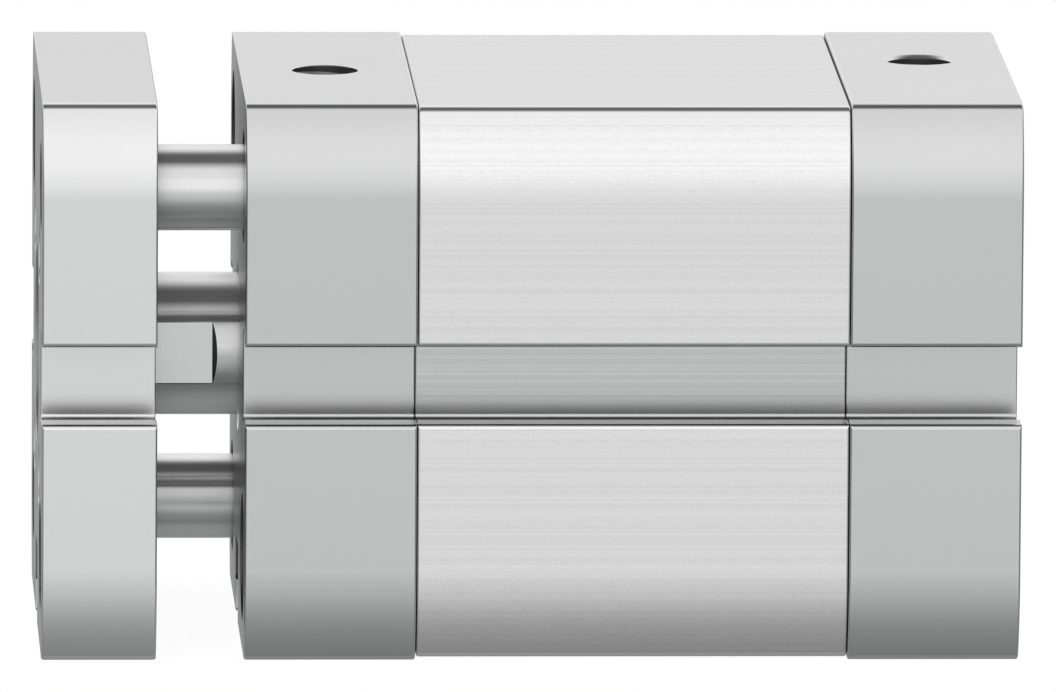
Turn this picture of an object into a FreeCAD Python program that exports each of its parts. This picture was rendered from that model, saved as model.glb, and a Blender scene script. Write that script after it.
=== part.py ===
"""Guided compact pneumatic cylinder: a square body with sensor grooves, a yoke plate and two guide rods.

The axis of the cylinder is X. The origin is on the axis, in the end cap's rear face, the rod comes out
towards -X, Z is up, and -Y faces the viewer of the reference picture. Lengths are in millimetres.
"""

import FreeCAD
import Part
import Sketcher

import math
import os
import re

from FreeCAD import Vector

SIZES = {
    # Outline shared by the yoke plate and the two caps, and the step down to the barrel.
    "section_size": 39.2,
    "side_flat": 26.0,
    "side_radius": 13.5,
    "crease_round": 0.7,
    "edge_round": 0.2,
    # How far a cutting outline reaches past the face that it cuts, and a spigot into its cap.
    "overreach": 1.0,
    "barrel_inset": 0.2,
    # Lengths along the axis.
    "stroke": 15.0,
    "yoke_thickness": 8.0,
    "rod_gap": 6.1,
    "bearing_cap_length": 12.0,
    "end_cap_length": 12.0,
    "spigot_length": 2.0,
    "end_gap": 0.1,
    # Sensor grooves of T section.
    "slot_mouth": 5.4,
    "slot_lip": 2.3,
    "slot_width": 6.5,
    "slot_depth": 5.65,
    "slot_corner": 0.45,
    # Square on which the collar screws and the guide rods stand.
    "corner_spacing": 26.0,
    # Clearances, all on the radius except where a length is meant.
    "fit_clearance": 0.02,
    "running_clearance": 0.03,
    "screw_clearance": 0.05,
    "seal_clearance": 0.03,
    # Bore, piston rod and guide rods.
    "bore_diameter": 25.0,
    "rod_diameter": 10.0,
    "rod_flat_width": 9.0,
    "rod_flat_length": 3.8,
    "rod_flat_ramp": 0.31,
    "guide_diameter": 6.0,
    "guide_length": 38.0,
    "guide_seat_depth": 2.0,
    "guide_tail_room": 1.5,
    "guide_bore_room": 0.3,
    "rod_chamfer": 0.4,
    # Rod bearing and rod seal in the bearing cap.
    "bush_wall": 1.0,
    "rod_bush_length": 8.0,
    "rod_bush_inset": 0.5,
    "rod_bore_room": 0.2,
    "seal_mouth_diameter": 12.2,
    "seal_mouth_depth": 1.0,
    "seal_groove_diameter": 14.4,
    "seal_groove_width": 3.5,
    "wiper_inset": 0.3,
    "wiper_wall": 0.7,
    "guide_bush_length": 10.0,
    "guide_bush_inset": 1.0,
    # Ring seals of the two spigots and of the rod in the piston.
    "spigot_cord": 1.0,
    "spigot_groove_width": 1.3,
    "spigot_groove_wall": 0.35,
    "piston_cord": 1.3,
    "piston_groove_width": 1.7,
    # Supply ports, tapped M5, and the drilled way from each to its chamber.
    "tap_diameter": 4.2,
    "port_depth": 7.0,
    "bearing_port_mouth": 4.75,
    "end_port_mouth": 5.2,
    "bearing_port_offset": -1.5,
    "end_port_offset": 3.6,
    "port_drill_diameter": 3.0,
    "port_drill_overrun": 0.4,
    "passage_diameter": 2.4,
    "bearing_passage_height": 9.3,
    "end_passage_height": 8.6,
    # Collar screws: a headed M5 screw with a hex socket and an M5 thread in its head.
    "collar_head_diameter": 8.6,
    "collar_head_length": 8.0,
    "collar_head_room": 0.2,
    "collar_recess": 0.5,
    "collar_shank_diameter": 5.0,
    "collar_reach": 8.0,
    "collar_socket": 5.0,
    "collar_socket_depth": 2.2,
    "collar_thread_depth": 7.3,
    "collar_socket_turn": 20.0,
    # Holes of the yoke plate.
    "yoke_centring_diameter": 14.0,
    "yoke_centring_depth": 1.5,
    "yoke_thread_circle": 22.0,
    "access_diameter": 8.0,
    "hole_chamfer": 0.25,
    # Low-head screws of the yoke plate, M6 into the piston rod and M3 into the guide rods.
    "yoke_screw_diameter": 6.0,
    "yoke_screw_head": 10.0,
    "yoke_screw_head_height": 4.0,
    "yoke_screw_length": 12.0,
    "yoke_screw_socket": 4.0,
    "guide_screw_diameter": 3.0,
    "guide_screw_head": 5.5,
    "guide_screw_head_height": 2.0,
    "guide_screw_length": 10.0,
    "guide_screw_socket": 2.0,
    "head_recess": 0.4,
    "head_room": 0.5,
    "socket_share": 0.55,
    "thread_end_room": 2.0,
    # Centring bore in the end cap's rear face.
    "rear_centring_diameter": 9.0,
    "rear_centring_depth": 2.1,
    # Piston and what it carries.
    "piston_length": 10.0,
    "piston_land": 0.3,
    "rod_seat_depth": 4.0,
    "rod_groove_inset": 1.2,
    "seal_groove_inset": 1.2,
    "piston_seal_width": 2.0,
    "piston_seal_depth": 3.0,
    "magnet_width": 2.2,
    "magnet_wall": 2.0,
    "guide_ring_wall": 1.6,
    "guide_ring_slit": 0.6,
    "bumper_inner_diameter": 14.4,
    "bumper_outer_diameter": 18.8,
    "bumper_seat": 0.8,
    "bumper_proud": 0.4,
    "piston_screw_diameter": 6.0,
    "piston_screw_head": 12.0,
    "piston_screw_length": 16.0,
    "piston_screw_socket": 4.0,
    "piston_screw_socket_depth": 2.3,
}

# Places along the axis, as expressions of the sizes above.
PISTON_STACK = "(piston_length + 2 * bumper_proud + 2 * end_gap)"
BARREL_LENGTH = f"(stroke + {PISTON_STACK} + 2 * spigot_length)"
BARREL_FRONT = f"(-end_cap_length - {BARREL_LENGTH})"
CAP_FACE = f"({BARREL_FRONT} - bearing_cap_length)"
YOKE_INNER = f"({CAP_FACE} - rod_gap)"
YOKE_FACE = f"({YOKE_INNER} - yoke_thickness)"
PISTON_REAR = "(-end_cap_length - spigot_length - end_gap - bumper_proud)"
PISTON_FRONT = f"({PISTON_REAR} - piston_length)"

HALF_SECTION = "section_size / 2"
CORNER = "corner_spacing / 2"
SPIGOT_RADIUS = "(bore_diameter / 2 - fit_clearance)"
SPIGOT_GROOVE_RADIUS = "(bore_diameter / 2 - spigot_cord - 2 * fit_clearance)"
COLLAR_BORE = "(collar_head_diameter / 2 + collar_head_room)"
COLLAR_SEAT = "(collar_recess + collar_head_length)"
COLLAR_HOLE = "(collar_shank_diameter / 2 + screw_clearance)"

# The two diagonals of the fastening square, as signs of Y and Z.
GUIDE_CORNERS = {"upper": (-1, 1), "lower": (1, -1)}
SCREW_CORNER = (1, 1)
HEX_SIDES = 6
# Smallest volume in cubic millimetres that counts as a cut.
LEAST_CUT = 1e-6

doc = FreeCAD.newDocument("compact_cylinder")
sheet = doc.addObject("Spreadsheet::Sheet", "Sizes")
for row, (alias, number) in enumerate(SIZES.items(), start=1):
    sheet.set(f"A{row}", alias)
    sheet.set(f"B{row}", str(number))
    sheet.setAlias(f"B{row}", alias)
doc.recompute()


def sized(text):
    """The expression with each size's name pointed at its cell."""
    return re.sub(r"[a-z_]+", lambda word: f"Sizes.{word[0]}" if word[0] in SIZES else word[0], str(text))


def bind(thing, name, text):
    thing.setExpression(name, sized(text))


def new_body(name, station, offset=("0", "0")):
    """A body whose own origin stands at a place along the axis, with an offset in Y and Z."""
    body = doc.addObject("PartDesign::Body", name)
    body.Label = name
    for axis, text in zip("xyz", (station, *offset)):
        bind(body, f"Placement.Base.{axis}", text)
    return body


def origin_feature(body, role):
    return next(item for item in body.Origin.OriginFeatures if item.Role == role)


def new_sketch(body, name, role, offset=("0", "0", "0")):
    """A sketch on one of the body's own planes, moved by an offset along the sketch's own axes."""
    sketch = body.newObject("Sketcher::SketchObject", name)
    sketch.AttachmentSupport = (origin_feature(body, role), [""])
    sketch.MapMode = "FlatFace"
    for axis, text in zip("xyz", offset):
        bind(sketch, f"AttachmentOffset.Base.{axis}", text)
    return sketch


def drawn_value(sketch, kind, where):
    """What a dimension measures on the lines as they were first drawn."""
    if kind == "DistanceX":
        return sketch.getPoint(*where[2:]).x
    if kind == "DistanceY":
        return sketch.getPoint(*where[2:]).y
    return sketch.Geometry[where[0]].Radius


def dimension(sketch, kind, *where, text):
    """A dimension of a sketch that follows an expression."""
    start = drawn_value(sketch, kind, where)
    index = sketch.addConstraint(Sketcher.Constraint(kind, *where, start))
    bind(sketch, f"Constraints[{index}]", text)


def place_point(sketch, line, end, across, along):
    """Holds a point of the sketch at a distance from both of its axes, or on an axis where that is 0."""
    if across == "0":
        sketch.addConstraint(Sketcher.Constraint("PointOnObject", line, end, -2))
    else:
        dimension(sketch, "DistanceX", -1, 1, line, end, text=across)
    if along == "0":
        sketch.addConstraint(Sketcher.Constraint("PointOnObject", line, end, -1))
    else:
        dimension(sketch, "DistanceY", -1, 1, line, end, text=along)


def add_polygon(sketch, points):
    """A closed outline of straight lines whose corners follow pairs of expressions."""
    count = len(points)
    angles = [2 * math.pi * index / count for index in range(count)]
    rough = [Vector(math.cos(angle), math.sin(angle), 0) for angle in angles]
    lines = [sketch.addGeometry(Part.LineSegment(rough[i], rough[(i + 1) % count])) for i in range(count)]
    for index, line in enumerate(lines):
        sketch.addConstraint(Sketcher.Constraint("Coincident", line, 2, lines[(index + 1) % count], 1))
    for line, (across, along) in zip(lines, points):
        place_point(sketch, line, 1, across, along)


def add_hexagon(sketch, width, centre=("0", "0"), turn="0"):
    """A hexagon given by its width across flats, turned about its centre."""
    points = []
    for corner in range(HEX_SIDES):
        angle = f"({corner * 360 / HEX_SIDES} + {turn}) * 1 deg"
        across = f"{centre[0]} + {width} / sqrt(3) * cos({angle})"
        along = f"{centre[1]} + {width} / sqrt(3) * sin({angle})"
        points.append((across, along))
    add_polygon(sketch, points)


def add_rounded_box(sketch, left, right, low, high, radius):
    """A rectangle with four equal rounded corners, given by its four sides."""
    rough = [Vector(-1, -1, 0), Vector(1, -1, 0), Vector(1, 1, 0), Vector(-1, 1, 0)]
    inner = 0.6
    lines = []
    arcs = []
    for index in range(4):
        start, end = rough[index], rough[(index + 1) % 4]
        middle = (start + end) * 0.5
        half = (end - start) * 0.5 * inner
        lines.append(sketch.addGeometry(Part.LineSegment(middle - half, middle + half)))
    for index in range(4):
        corner = rough[(index + 1) % 4]
        begin = -math.pi / 2 + index * math.pi / 2
        circle = Part.Circle(corner * inner, Vector(0, 0, 1), 1 - inner)
        arcs.append(sketch.addGeometry(Part.ArcOfCircle(circle, begin, begin + math.pi / 2)))
    for index in range(4):
        sketch.addConstraint(Sketcher.Constraint("Tangent", lines[index], 2, arcs[index], 1))
        sketch.addConstraint(Sketcher.Constraint("Tangent", arcs[index], 2, lines[(index + 1) % 4], 1))
        direction = "Horizontal" if index % 2 == 0 else "Vertical"
        sketch.addConstraint(Sketcher.Constraint(direction, lines[index]))
    for index in range(3):
        sketch.addConstraint(Sketcher.Constraint("Equal", arcs[index], arcs[index + 1]))
    dimension(sketch, "Radius", arcs[0], text=radius)
    dimension(sketch, "DistanceY", -1, 1, lines[0], 1, text=low)
    dimension(sketch, "DistanceX", -1, 1, lines[1], 1, text=right)
    dimension(sketch, "DistanceY", -1, 1, lines[2], 1, text=high)
    dimension(sketch, "DistanceX", -1, 1, lines[3], 1, text=left)


def side_lean(half):
    """The angle through which a side curves in, from its flat to a crease."""
    return math.asin((half - SIZES["side_flat"] / 2) / SIZES["side_radius"])


def crease_place(half):
    """How far the creases lie from the middle, sideways."""
    return half - SIZES["side_radius"] * (1 - math.cos(side_lean(half)))


def add_section(sketch, inset):
    """The body's outline: flat top and bottom, and upright sides that curve in to four creases."""
    half = SIZES["section_size"] / 2
    flat = SIZES["side_flat"] / 2
    radius = SIZES["side_radius"]
    lean = side_lean(half)
    crease = crease_place(half)
    lines = {}
    for name, sign in (("right", 1), ("left", -1)):
        ends = Vector(sign * half, -sign * flat, 0), Vector(sign * half, sign * flat, 0)
        lines[name] = sketch.addGeometry(Part.LineSegment(*ends))
    for name, sign in (("top", 1), ("bottom", -1)):
        ends = Vector(sign * crease, sign * half, 0), Vector(-sign * crease, sign * half, 0)
        lines[name] = sketch.addGeometry(Part.LineSegment(*ends))
    for side, upright, roof, start, end in (
        (1, "right", "top", 0, lean),
        (-1, "left", "top", math.pi - lean, math.pi),
        (-1, "left", "bottom", math.pi, math.pi + lean),
        (1, "right", "bottom", 2 * math.pi - lean, 2 * math.pi),
    ):
        level = flat if roof == "top" else -flat
        circle = Part.Circle(Vector(side * (half - radius), level, 0), Vector(0, 0, 1), radius)
        arc = sketch.addGeometry(Part.ArcOfCircle(circle, start, end))
        upright_first = (upright == "right") == (roof == "top")
        arc_to_upright, arc_to_roof = (1, 2) if upright_first else (2, 1)
        upright_end = 2 if upright_first else 1
        roof_end = 1 if upright_first else 2
        sketch.addConstraint(Sketcher.Constraint("Tangent", arc, arc_to_upright, lines[upright], upright_end))
        sketch.addConstraint(Sketcher.Constraint("Coincident", arc, arc_to_roof, lines[roof], roof_end))
        dimension(sketch, "Radius", arc, text="side_radius")
    for name, sign in (("right", 1), ("left", -1)):
        sketch.addConstraint(Sketcher.Constraint("Vertical", lines[name]))
        dimension(sketch, "DistanceX", -1, 1, lines[name], 1, text=f"{sign} * ({HALF_SECTION} - {inset})")
        dimension(sketch, "DistanceY", -1, 1, lines[name], 1, text=f"{-sign} * side_flat / 2")
        dimension(sketch, "DistanceY", -1, 1, lines[name], 2, text=f"{sign} * side_flat / 2")
    for name, sign in (("top", 1), ("bottom", -1)):
        sketch.addConstraint(Sketcher.Constraint("Horizontal", lines[name]))
        dimension(sketch, "DistanceY", -1, 1, lines[name], 1, text=f"{sign} * ({HALF_SECTION} - {inset})")


def settle(body):
    """Recomputes, and gives the body's volume so far."""
    doc.recompute()
    return body.Shape.Volume


def pad(body, sketch, length):
    feature = body.newObject("PartDesign::Pad", f"{sketch.Name}_pad")
    feature.Profile = sketch
    bind(feature, "Length", length)
    settle(body)
    return feature


def removed(body, feature, before):
    """Stops the build where a cut took nothing away."""
    if settle(body) >= before - LEAST_CUT:
        raise RuntimeError(f"{feature.Label} cuts nothing from {body.Label}")
    return feature


def pocket(body, sketch, length=None, both_ways=False):
    """Cuts a sketch along its normal, to a length or right through, or both ways from the sketch."""
    before = settle(body)
    feature = body.newObject("PartDesign::Pocket", f"{sketch.Name}_pocket")
    feature.Profile = sketch
    feature.Reversed = not both_ways
    if both_ways:
        feature.SideType = "Symmetric"
    if length is None:
        feature.Type = "ThroughAll"
    else:
        bind(feature, "Length", length)
    return removed(body, feature, before)


def turned(body, name, profile, offset=("0", "0")):
    """A round solid about a line along X, from pairs of place along X and radius."""
    sketch = new_sketch(body, f"{name}_profile", "XZ_Plane", ("0", offset[1], f"-1 * ({offset[0]})"))
    add_polygon(sketch, profile)
    feature = body.newObject("PartDesign::Revolution", name)
    feature.Profile = sketch
    feature.ReferenceAxis = (sketch, ["H_Axis"])
    feature.Angle = 360.0
    settle(body)
    return feature


def bored(body, name, steps, offset=("0", "0")):
    """A stepped round hole about a line along X, from pairs of place along X and radius."""
    before = settle(body)
    sketch = new_sketch(body, f"{name}_profile", "XZ_Plane", ("0", offset[1], f"-1 * ({offset[0]})"))
    add_polygon(sketch, [(steps[0][0], "0"), *steps, (steps[-1][0], "0")])
    feature = body.newObject("PartDesign::Groove", name)
    feature.Profile = sketch
    feature.ReferenceAxis = (sketch, ["H_Axis"])
    feature.Angle = 360.0
    return removed(body, feature, before)


def around(body, features, count, angle=360.0):
    """Repeats features about the axis."""
    pattern = body.newObject("PartDesign::PolarPattern", f"{features[0].Name}_around")
    pattern.Originals = features
    pattern.Axis = (origin_feature(body, "X_Axis"), [""])
    pattern.Angle = angle
    pattern.Occurrences = count
    body.Tip = pattern
    settle(body)
    return pattern


def corner_at(corner):
    return tuple(f"{sign} * {CORNER}" for sign in corner)


def cut_slots(body):
    """Sensor grooves along the front, the bottom and the back; the top has none."""
    wall = f"-1 * ({HALF_SECTION})"
    mouth = new_sketch(body, "slot_mouth_outline", "YZ_Plane")
    sides = ("-slot_mouth / 2", "slot_mouth / 2")
    reach = f"{wall} + slot_lip + slot_corner"
    outside = f"{wall} - overreach"
    add_polygon(mouth, [(outside, sides[0]), (reach, sides[0]), (reach, sides[1]), (outside, sides[1])])
    first = pocket(body, mouth)
    cavity = new_sketch(body, "slot_cavity_outline", "YZ_Plane")
    add_rounded_box(
        cavity,
        left=f"{wall} + slot_lip",
        right=f"{wall} + slot_depth",
        low="-slot_width / 2",
        high="slot_width / 2",
        radius="slot_corner",
    )
    second = pocket(body, cavity)
    around(body, [first, second], 3, 180.0)


def on_crease(vertex, half):
    """Whether a corner lies on one of the section's four creases."""
    near = 1e-3
    return abs(vertex.Point.y) > crease_place(half) - near and abs(vertex.Point.z) > half - near


def on_outline(vertex, half):
    """Whether a corner lies on the section's outer outline, and not inside a groove."""
    near = 1e-3
    return abs(vertex.Point.y) > crease_place(half) - near or abs(vertex.Point.z) > half - near


def round_edges(body, half, is_chosen, size):
    """Rounds every edge whose ends are chosen ones."""
    settle(body)
    base = body.Tip
    chosen = []
    for number, edge in enumerate(base.Shape.Edges, start=1):
        if all(is_chosen(vertex, half) for vertex in edge.Vertexes):
            chosen.append(f"Edge{number}")
    feature = body.newObject("PartDesign::Fillet", size)
    feature.Base = (base, chosen)
    bind(feature, "Radius", size)
    body.Tip = feature
    settle(body)


def round_outline(body, half):
    """Rounds the creases, then the groove mouths and the outer edges of both end faces."""
    round_edges(body, half, on_crease, "crease_round")
    round_edges(body, half, on_outline, "edge_round")


def new_block(name, station, length, inset="0"):
    """A length of the body's section, standing at a place along the axis."""
    body = new_body(name, station)
    outline = new_sketch(body, "section", "YZ_Plane")
    add_section(outline, inset)
    pad(body, outline, length)
    return body


def cut_port(body, mouth, offset, middle, passage_height, passage_end):
    """A tapped port in the top, and the drilled way from its foot to the chamber."""
    before = settle(body)
    sketch = new_sketch(body, "port_profile", "XZ_Plane", (middle, "0", f"-1 * {offset}"))
    chamfer_foot = f"{HALF_SECTION} - ({mouth} - tap_diameter) / 2"
    drill_foot = f"{passage_height} - passage_diameter / 2 - port_drill_overrun"
    add_polygon(
        sketch,
        [
            ("0", drill_foot),
            ("port_drill_diameter / 2", drill_foot),
            ("port_drill_diameter / 2", f"{HALF_SECTION} - port_depth"),
            ("tap_diameter / 2", f"{HALF_SECTION} - port_depth"),
            ("tap_diameter / 2", chamfer_foot),
            (f"{mouth} / 2", HALF_SECTION),
            (f"{mouth} / 2", f"{HALF_SECTION} + overreach"),
            ("0", f"{HALF_SECTION} + overreach"),
        ],
    )
    feature = body.newObject("PartDesign::Groove", "port")
    feature.Profile = sketch
    feature.ReferenceAxis = (sketch, ["V_Axis"])
    feature.Angle = 360.0
    removed(body, feature, before)
    bored(
        body,
        "passage",
        [(middle, "passage_diameter / 2"), (passage_end, "passage_diameter / 2")],
        (offset, passage_height),
    )


def collar_bore(outer, inner, sign):
    """Steps of a collar screw's hole, from the outer face of a cap to its inner face."""
    return [
        (outer, f"{COLLAR_BORE} + hole_chamfer"),
        (f"{outer} + {sign} * hole_chamfer", COLLAR_BORE),
        (f"{outer} + {sign} * {COLLAR_SEAT}", COLLAR_BORE),
        (f"{outer} + {sign} * {COLLAR_SEAT}", COLLAR_HOLE),
        (inner, COLLAR_HOLE),
    ]


def add_spigot(body, face, sign):
    """The turned spigot that centres a cap in the bore, with the groove for its ring seal."""
    groove_start = f"{face} + {sign} * spigot_groove_wall"
    groove_end = f"{face} + {sign} * (spigot_groove_wall + spigot_groove_width)"
    end = f"{face} + {sign} * spigot_length"
    turned(
        body,
        "spigot",
        [
            (f"{face} - {sign} * overreach", "0"),
            (f"{face} - {sign} * overreach", SPIGOT_GROOVE_RADIUS),
            (face, SPIGOT_GROOVE_RADIUS),
            (face, SPIGOT_RADIUS),
            (groove_start, SPIGOT_RADIUS),
            (groove_start, SPIGOT_GROOVE_RADIUS),
            (groove_end, SPIGOT_GROOVE_RADIUS),
            (groove_end, SPIGOT_RADIUS),
            (end, SPIGOT_RADIUS),
            (end, "0"),
        ],
    )


def make_yoke_plate():
    body = new_block("yoke_plate", YOKE_FACE, "yoke_thickness")
    cut_slots(body)
    round_outline(body, SIZES["section_size"] / 2)
    seat = "(yoke_centring_depth + yoke_screw_head_height)"
    bored(
        body,
        "centre_bore",
        [
            ("0", "yoke_centring_diameter / 2 + hole_chamfer"),
            ("hole_chamfer", "yoke_centring_diameter / 2"),
            ("yoke_centring_depth", "yoke_centring_diameter / 2"),
            ("yoke_centring_depth", "yoke_screw_head / 2 + head_room"),
            (seat, "yoke_screw_head / 2 + head_room"),
            (seat, "yoke_screw_diameter / 2 + screw_clearance"),
            ("yoke_thickness", "yoke_screw_diameter / 2 + screw_clearance"),
        ],
    )
    head_seat = "(head_recess + guide_screw_head_height)"
    rod_seat = "(yoke_thickness - guide_seat_depth)"
    guide_hole = bored(
        body,
        "guide_rod_hole",
        [
            ("0", "guide_screw_head / 2 + head_room + hole_chamfer"),
            ("hole_chamfer", "guide_screw_head / 2 + head_room"),
            (head_seat, "guide_screw_head / 2 + head_room"),
            (head_seat, "guide_screw_diameter / 2 + screw_clearance"),
            (rod_seat, "guide_screw_diameter / 2 + screw_clearance"),
            (rod_seat, "guide_diameter / 2 + fit_clearance"),
            ("yoke_thickness", "guide_diameter / 2 + fit_clearance"),
        ],
        corner_at(GUIDE_CORNERS["upper"]),
    )
    around(body, [guide_hole], 2)
    access_hole = bored(
        body,
        "access_hole",
        [
            ("0", "access_diameter / 2 + hole_chamfer"),
            ("hole_chamfer", "access_diameter / 2"),
            ("yoke_thickness - hole_chamfer", "access_diameter / 2"),
            ("yoke_thickness", "access_diameter / 2 + hole_chamfer"),
        ],
        corner_at(SCREW_CORNER),
    )
    around(body, [access_hole], 2)
    thread_hole = bored(
        body,
        "thread_hole",
        [
            ("0", "tap_diameter / 2 + hole_chamfer"),
            ("hole_chamfer", "tap_diameter / 2"),
            ("yoke_thickness", "tap_diameter / 2"),
        ],
        ("yoke_thread_circle / 2 * sqrt(0.5)", "yoke_thread_circle / 2 * sqrt(0.5)"),
    )
    around(body, [thread_hole], 4)
    return body


def make_bearing_cap():
    body = new_block("bearing_cap", CAP_FACE, "bearing_cap_length")
    cut_slots(body)
    round_outline(body, SIZES["section_size"] / 2)
    add_spigot(body, "bearing_cap_length", 1)
    inner_face = "(bearing_cap_length + spigot_length)"
    seal_end = "(seal_mouth_depth + seal_groove_width)"
    bush_start = f"({inner_face} - rod_bush_inset - rod_bush_length)"
    bush_radius = "rod_diameter / 2 + running_clearance + bush_wall + fit_clearance"
    bored(
        body,
        "rod_bore",
        [
            ("0", "seal_mouth_diameter / 2 + hole_chamfer"),
            ("hole_chamfer", "seal_mouth_diameter / 2"),
            ("seal_mouth_depth", "seal_mouth_diameter / 2"),
            ("seal_mouth_depth", "seal_groove_diameter / 2"),
            (seal_end, "seal_groove_diameter / 2"),
            (seal_end, "rod_diameter / 2 + rod_bore_room"),
            (bush_start, "rod_diameter / 2 + rod_bore_room"),
            (bush_start, bush_radius),
            (inner_face, bush_radius),
        ],
    )
    guide_seat_end = "(guide_bush_inset + guide_bush_length)"
    guide_radius = "guide_diameter / 2 + running_clearance + bush_wall + fit_clearance"
    guide_hole = bored(
        body,
        "guide_bore",
        [
            ("0", f"{guide_radius} + hole_chamfer"),
            ("hole_chamfer", guide_radius),
            (guide_seat_end, guide_radius),
            (guide_seat_end, "guide_diameter / 2 + guide_bore_room"),
            ("bearing_cap_length", "guide_diameter / 2 + guide_bore_room"),
        ],
        corner_at(GUIDE_CORNERS["upper"]),
    )
    around(body, [guide_hole], 2)
    steps = collar_bore("0", "bearing_cap_length", 1)
    screw_hole = bored(body, "collar_bore", steps, corner_at(SCREW_CORNER))
    around(body, [screw_hole], 2)
    cut_port(
        body,
        mouth="bearing_port_mouth",
        offset="bearing_port_offset",
        middle="bearing_cap_length / 2",
        passage_height="bearing_passage_height",
        passage_end=inner_face,
    )
    return body


def make_cylinder_barrel():
    body = new_block("cylinder_barrel", BARREL_FRONT, BARREL_LENGTH, "barrel_inset")
    cut_slots(body)
    bored(body, "bore", [("0", "bore_diameter / 2"), (BARREL_LENGTH, "bore_diameter / 2")])
    steps = [("0", COLLAR_HOLE), (BARREL_LENGTH, COLLAR_HOLE)]
    core = bored(body, "screw_core", steps, corner_at(SCREW_CORNER))
    around(body, [core], 4)
    guide_end = f"({YOKE_INNER} - guide_seat_depth + guide_length + guide_tail_room - {BARREL_FRONT})"
    guide_radius = "guide_diameter / 2 + guide_bore_room"
    steps = [("0", guide_radius), (guide_end, guide_radius)]
    guide_hole = bored(body, "guide_bore", steps, corner_at(GUIDE_CORNERS["upper"]))
    around(body, [guide_hole], 2)
    return body


def make_end_cap():
    body = new_block("end_cap", "-end_cap_length", "end_cap_length")
    cut_slots(body)
    round_outline(body, SIZES["section_size"] / 2)
    add_spigot(body, "0", -1)
    bored(
        body,
        "rear_centring",
        [
            ("end_cap_length - rear_centring_depth", "rear_centring_diameter / 2"),
            ("end_cap_length - hole_chamfer", "rear_centring_diameter / 2"),
            ("end_cap_length", "rear_centring_diameter / 2 + hole_chamfer"),
        ],
    )
    screw_hole = bored(body, "collar_bore", collar_bore("end_cap_length", "0", -1), corner_at(SCREW_CORNER))
    around(body, [screw_hole], 4)
    cut_port(
        body,
        mouth="end_port_mouth",
        offset="end_port_offset",
        middle="end_cap_length / 2",
        passage_height="end_passage_height",
        passage_end="-spigot_length",
    )
    return body


def make_piston_rod():
    length = f"({PISTON_FRONT} + rod_seat_depth - {YOKE_INNER})"
    front_grip = "yoke_screw_length + yoke_centring_depth + yoke_screw_head_height - yoke_thickness"
    front_thread = f"({front_grip} + thread_end_room)"
    rear_thread = "(piston_screw_length - piston_length + rod_seat_depth + thread_end_room)"
    front_hole = "yoke_screw_diameter / 2 + screw_clearance"
    rear_hole = "piston_screw_diameter / 2 + screw_clearance"
    body = new_body("piston_rod", YOKE_INNER)
    turned(
        body,
        "rod",
        [
            ("0", front_hole),
            ("0", "rod_diameter / 2"),
            (f"{length} - rod_chamfer", "rod_diameter / 2"),
            (length, "rod_diameter / 2 - rod_chamfer"),
            (length, rear_hole),
            (f"{length} - {rear_thread}", rear_hole),
            (f"{length} - {rear_thread}", "0"),
            (front_thread, "0"),
            (front_thread, front_hole),
        ],
    )
    flats = new_sketch(body, "flats_outline", "XY_Plane")
    for sign in (1, -1):
        depth = f"{sign} * rod_flat_width / 2"
        outside = f"{sign} * rod_diameter"
        slope = "(rod_diameter - rod_flat_width) / 2"
        rise = "(rod_diameter - rod_flat_width / 2)"
        ramp_end = f"rod_flat_length + rod_flat_ramp * {rise} / {slope}"
        start = "-overreach"
        corners = [(start, depth), ("rod_flat_length", depth), (ramp_end, outside), (start, outside)]
        add_polygon(flats, corners)
    pocket(body, flats, "2 * rod_diameter", both_ways=True)
    return body


def make_guide_rod(name, corner):
    hole = "guide_screw_diameter / 2 + screw_clearance"
    grip = "(guide_screw_length + head_recess + guide_screw_head_height - yoke_thickness + guide_seat_depth)"
    thread_end = f"({grip} + thread_end_room)"
    body = new_body(name, f"{YOKE_INNER} - guide_seat_depth", corner_at(corner))
    turned(
        body,
        "rod",
        [
            ("0", hole),
            ("0", "guide_diameter / 2"),
            ("guide_length - rod_chamfer", "guide_diameter / 2"),
            ("guide_length", "guide_diameter / 2 - rod_chamfer"),
            ("guide_length", "0"),
            (thread_end, "0"),
            (thread_end, hole),
        ],
    )
    return body


def make_bush(name, station, length, shaft_diameter, offset=("0", "0")):
    inner = f"{shaft_diameter} / 2 + running_clearance"
    outer = f"{inner} + bush_wall"
    body = new_body(name, station, offset)
    turned(
        body,
        "bush",
        [
            ("hole_chamfer", inner),
            (f"{length} - hole_chamfer", inner),
            (length, f"{inner} + hole_chamfer"),
            (length, outer),
            ("0", outer),
            ("0", f"{inner} + hole_chamfer"),
        ],
    )
    return body


def make_rod_seal():
    """Rod seal and wiper in one ring, held in the groove, with the wiper lip in the cap's mouth."""
    lip = "rod_diameter / 2 + seal_clearance"
    free = "rod_diameter / 2 + rod_bore_room"
    outer = "seal_groove_diameter / 2 - fit_clearance"
    start = "(seal_mouth_depth + fit_clearance)"
    end = "(seal_mouth_depth + seal_groove_width - fit_clearance)"
    body = new_body("rod_seal", CAP_FACE)
    turned(
        body,
        "seal",
        [
            ("wiper_inset", lip),
            ("wiper_inset + wiper_wall", free),
            (f"{end} - wiper_wall", free),
            (end, lip),
            (end, f"{lip} + wiper_wall"),
            (f"{end} - wiper_wall", f"{outer} - wiper_wall"),
            (end, f"{outer} - wiper_wall / 2"),
            (end, outer),
            (start, outer),
            (start, "seal_mouth_diameter / 2 - fit_clearance"),
            ("wiper_inset + wiper_wall", "seal_mouth_diameter / 2 - fit_clearance"),
        ],
    )
    return body


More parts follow.
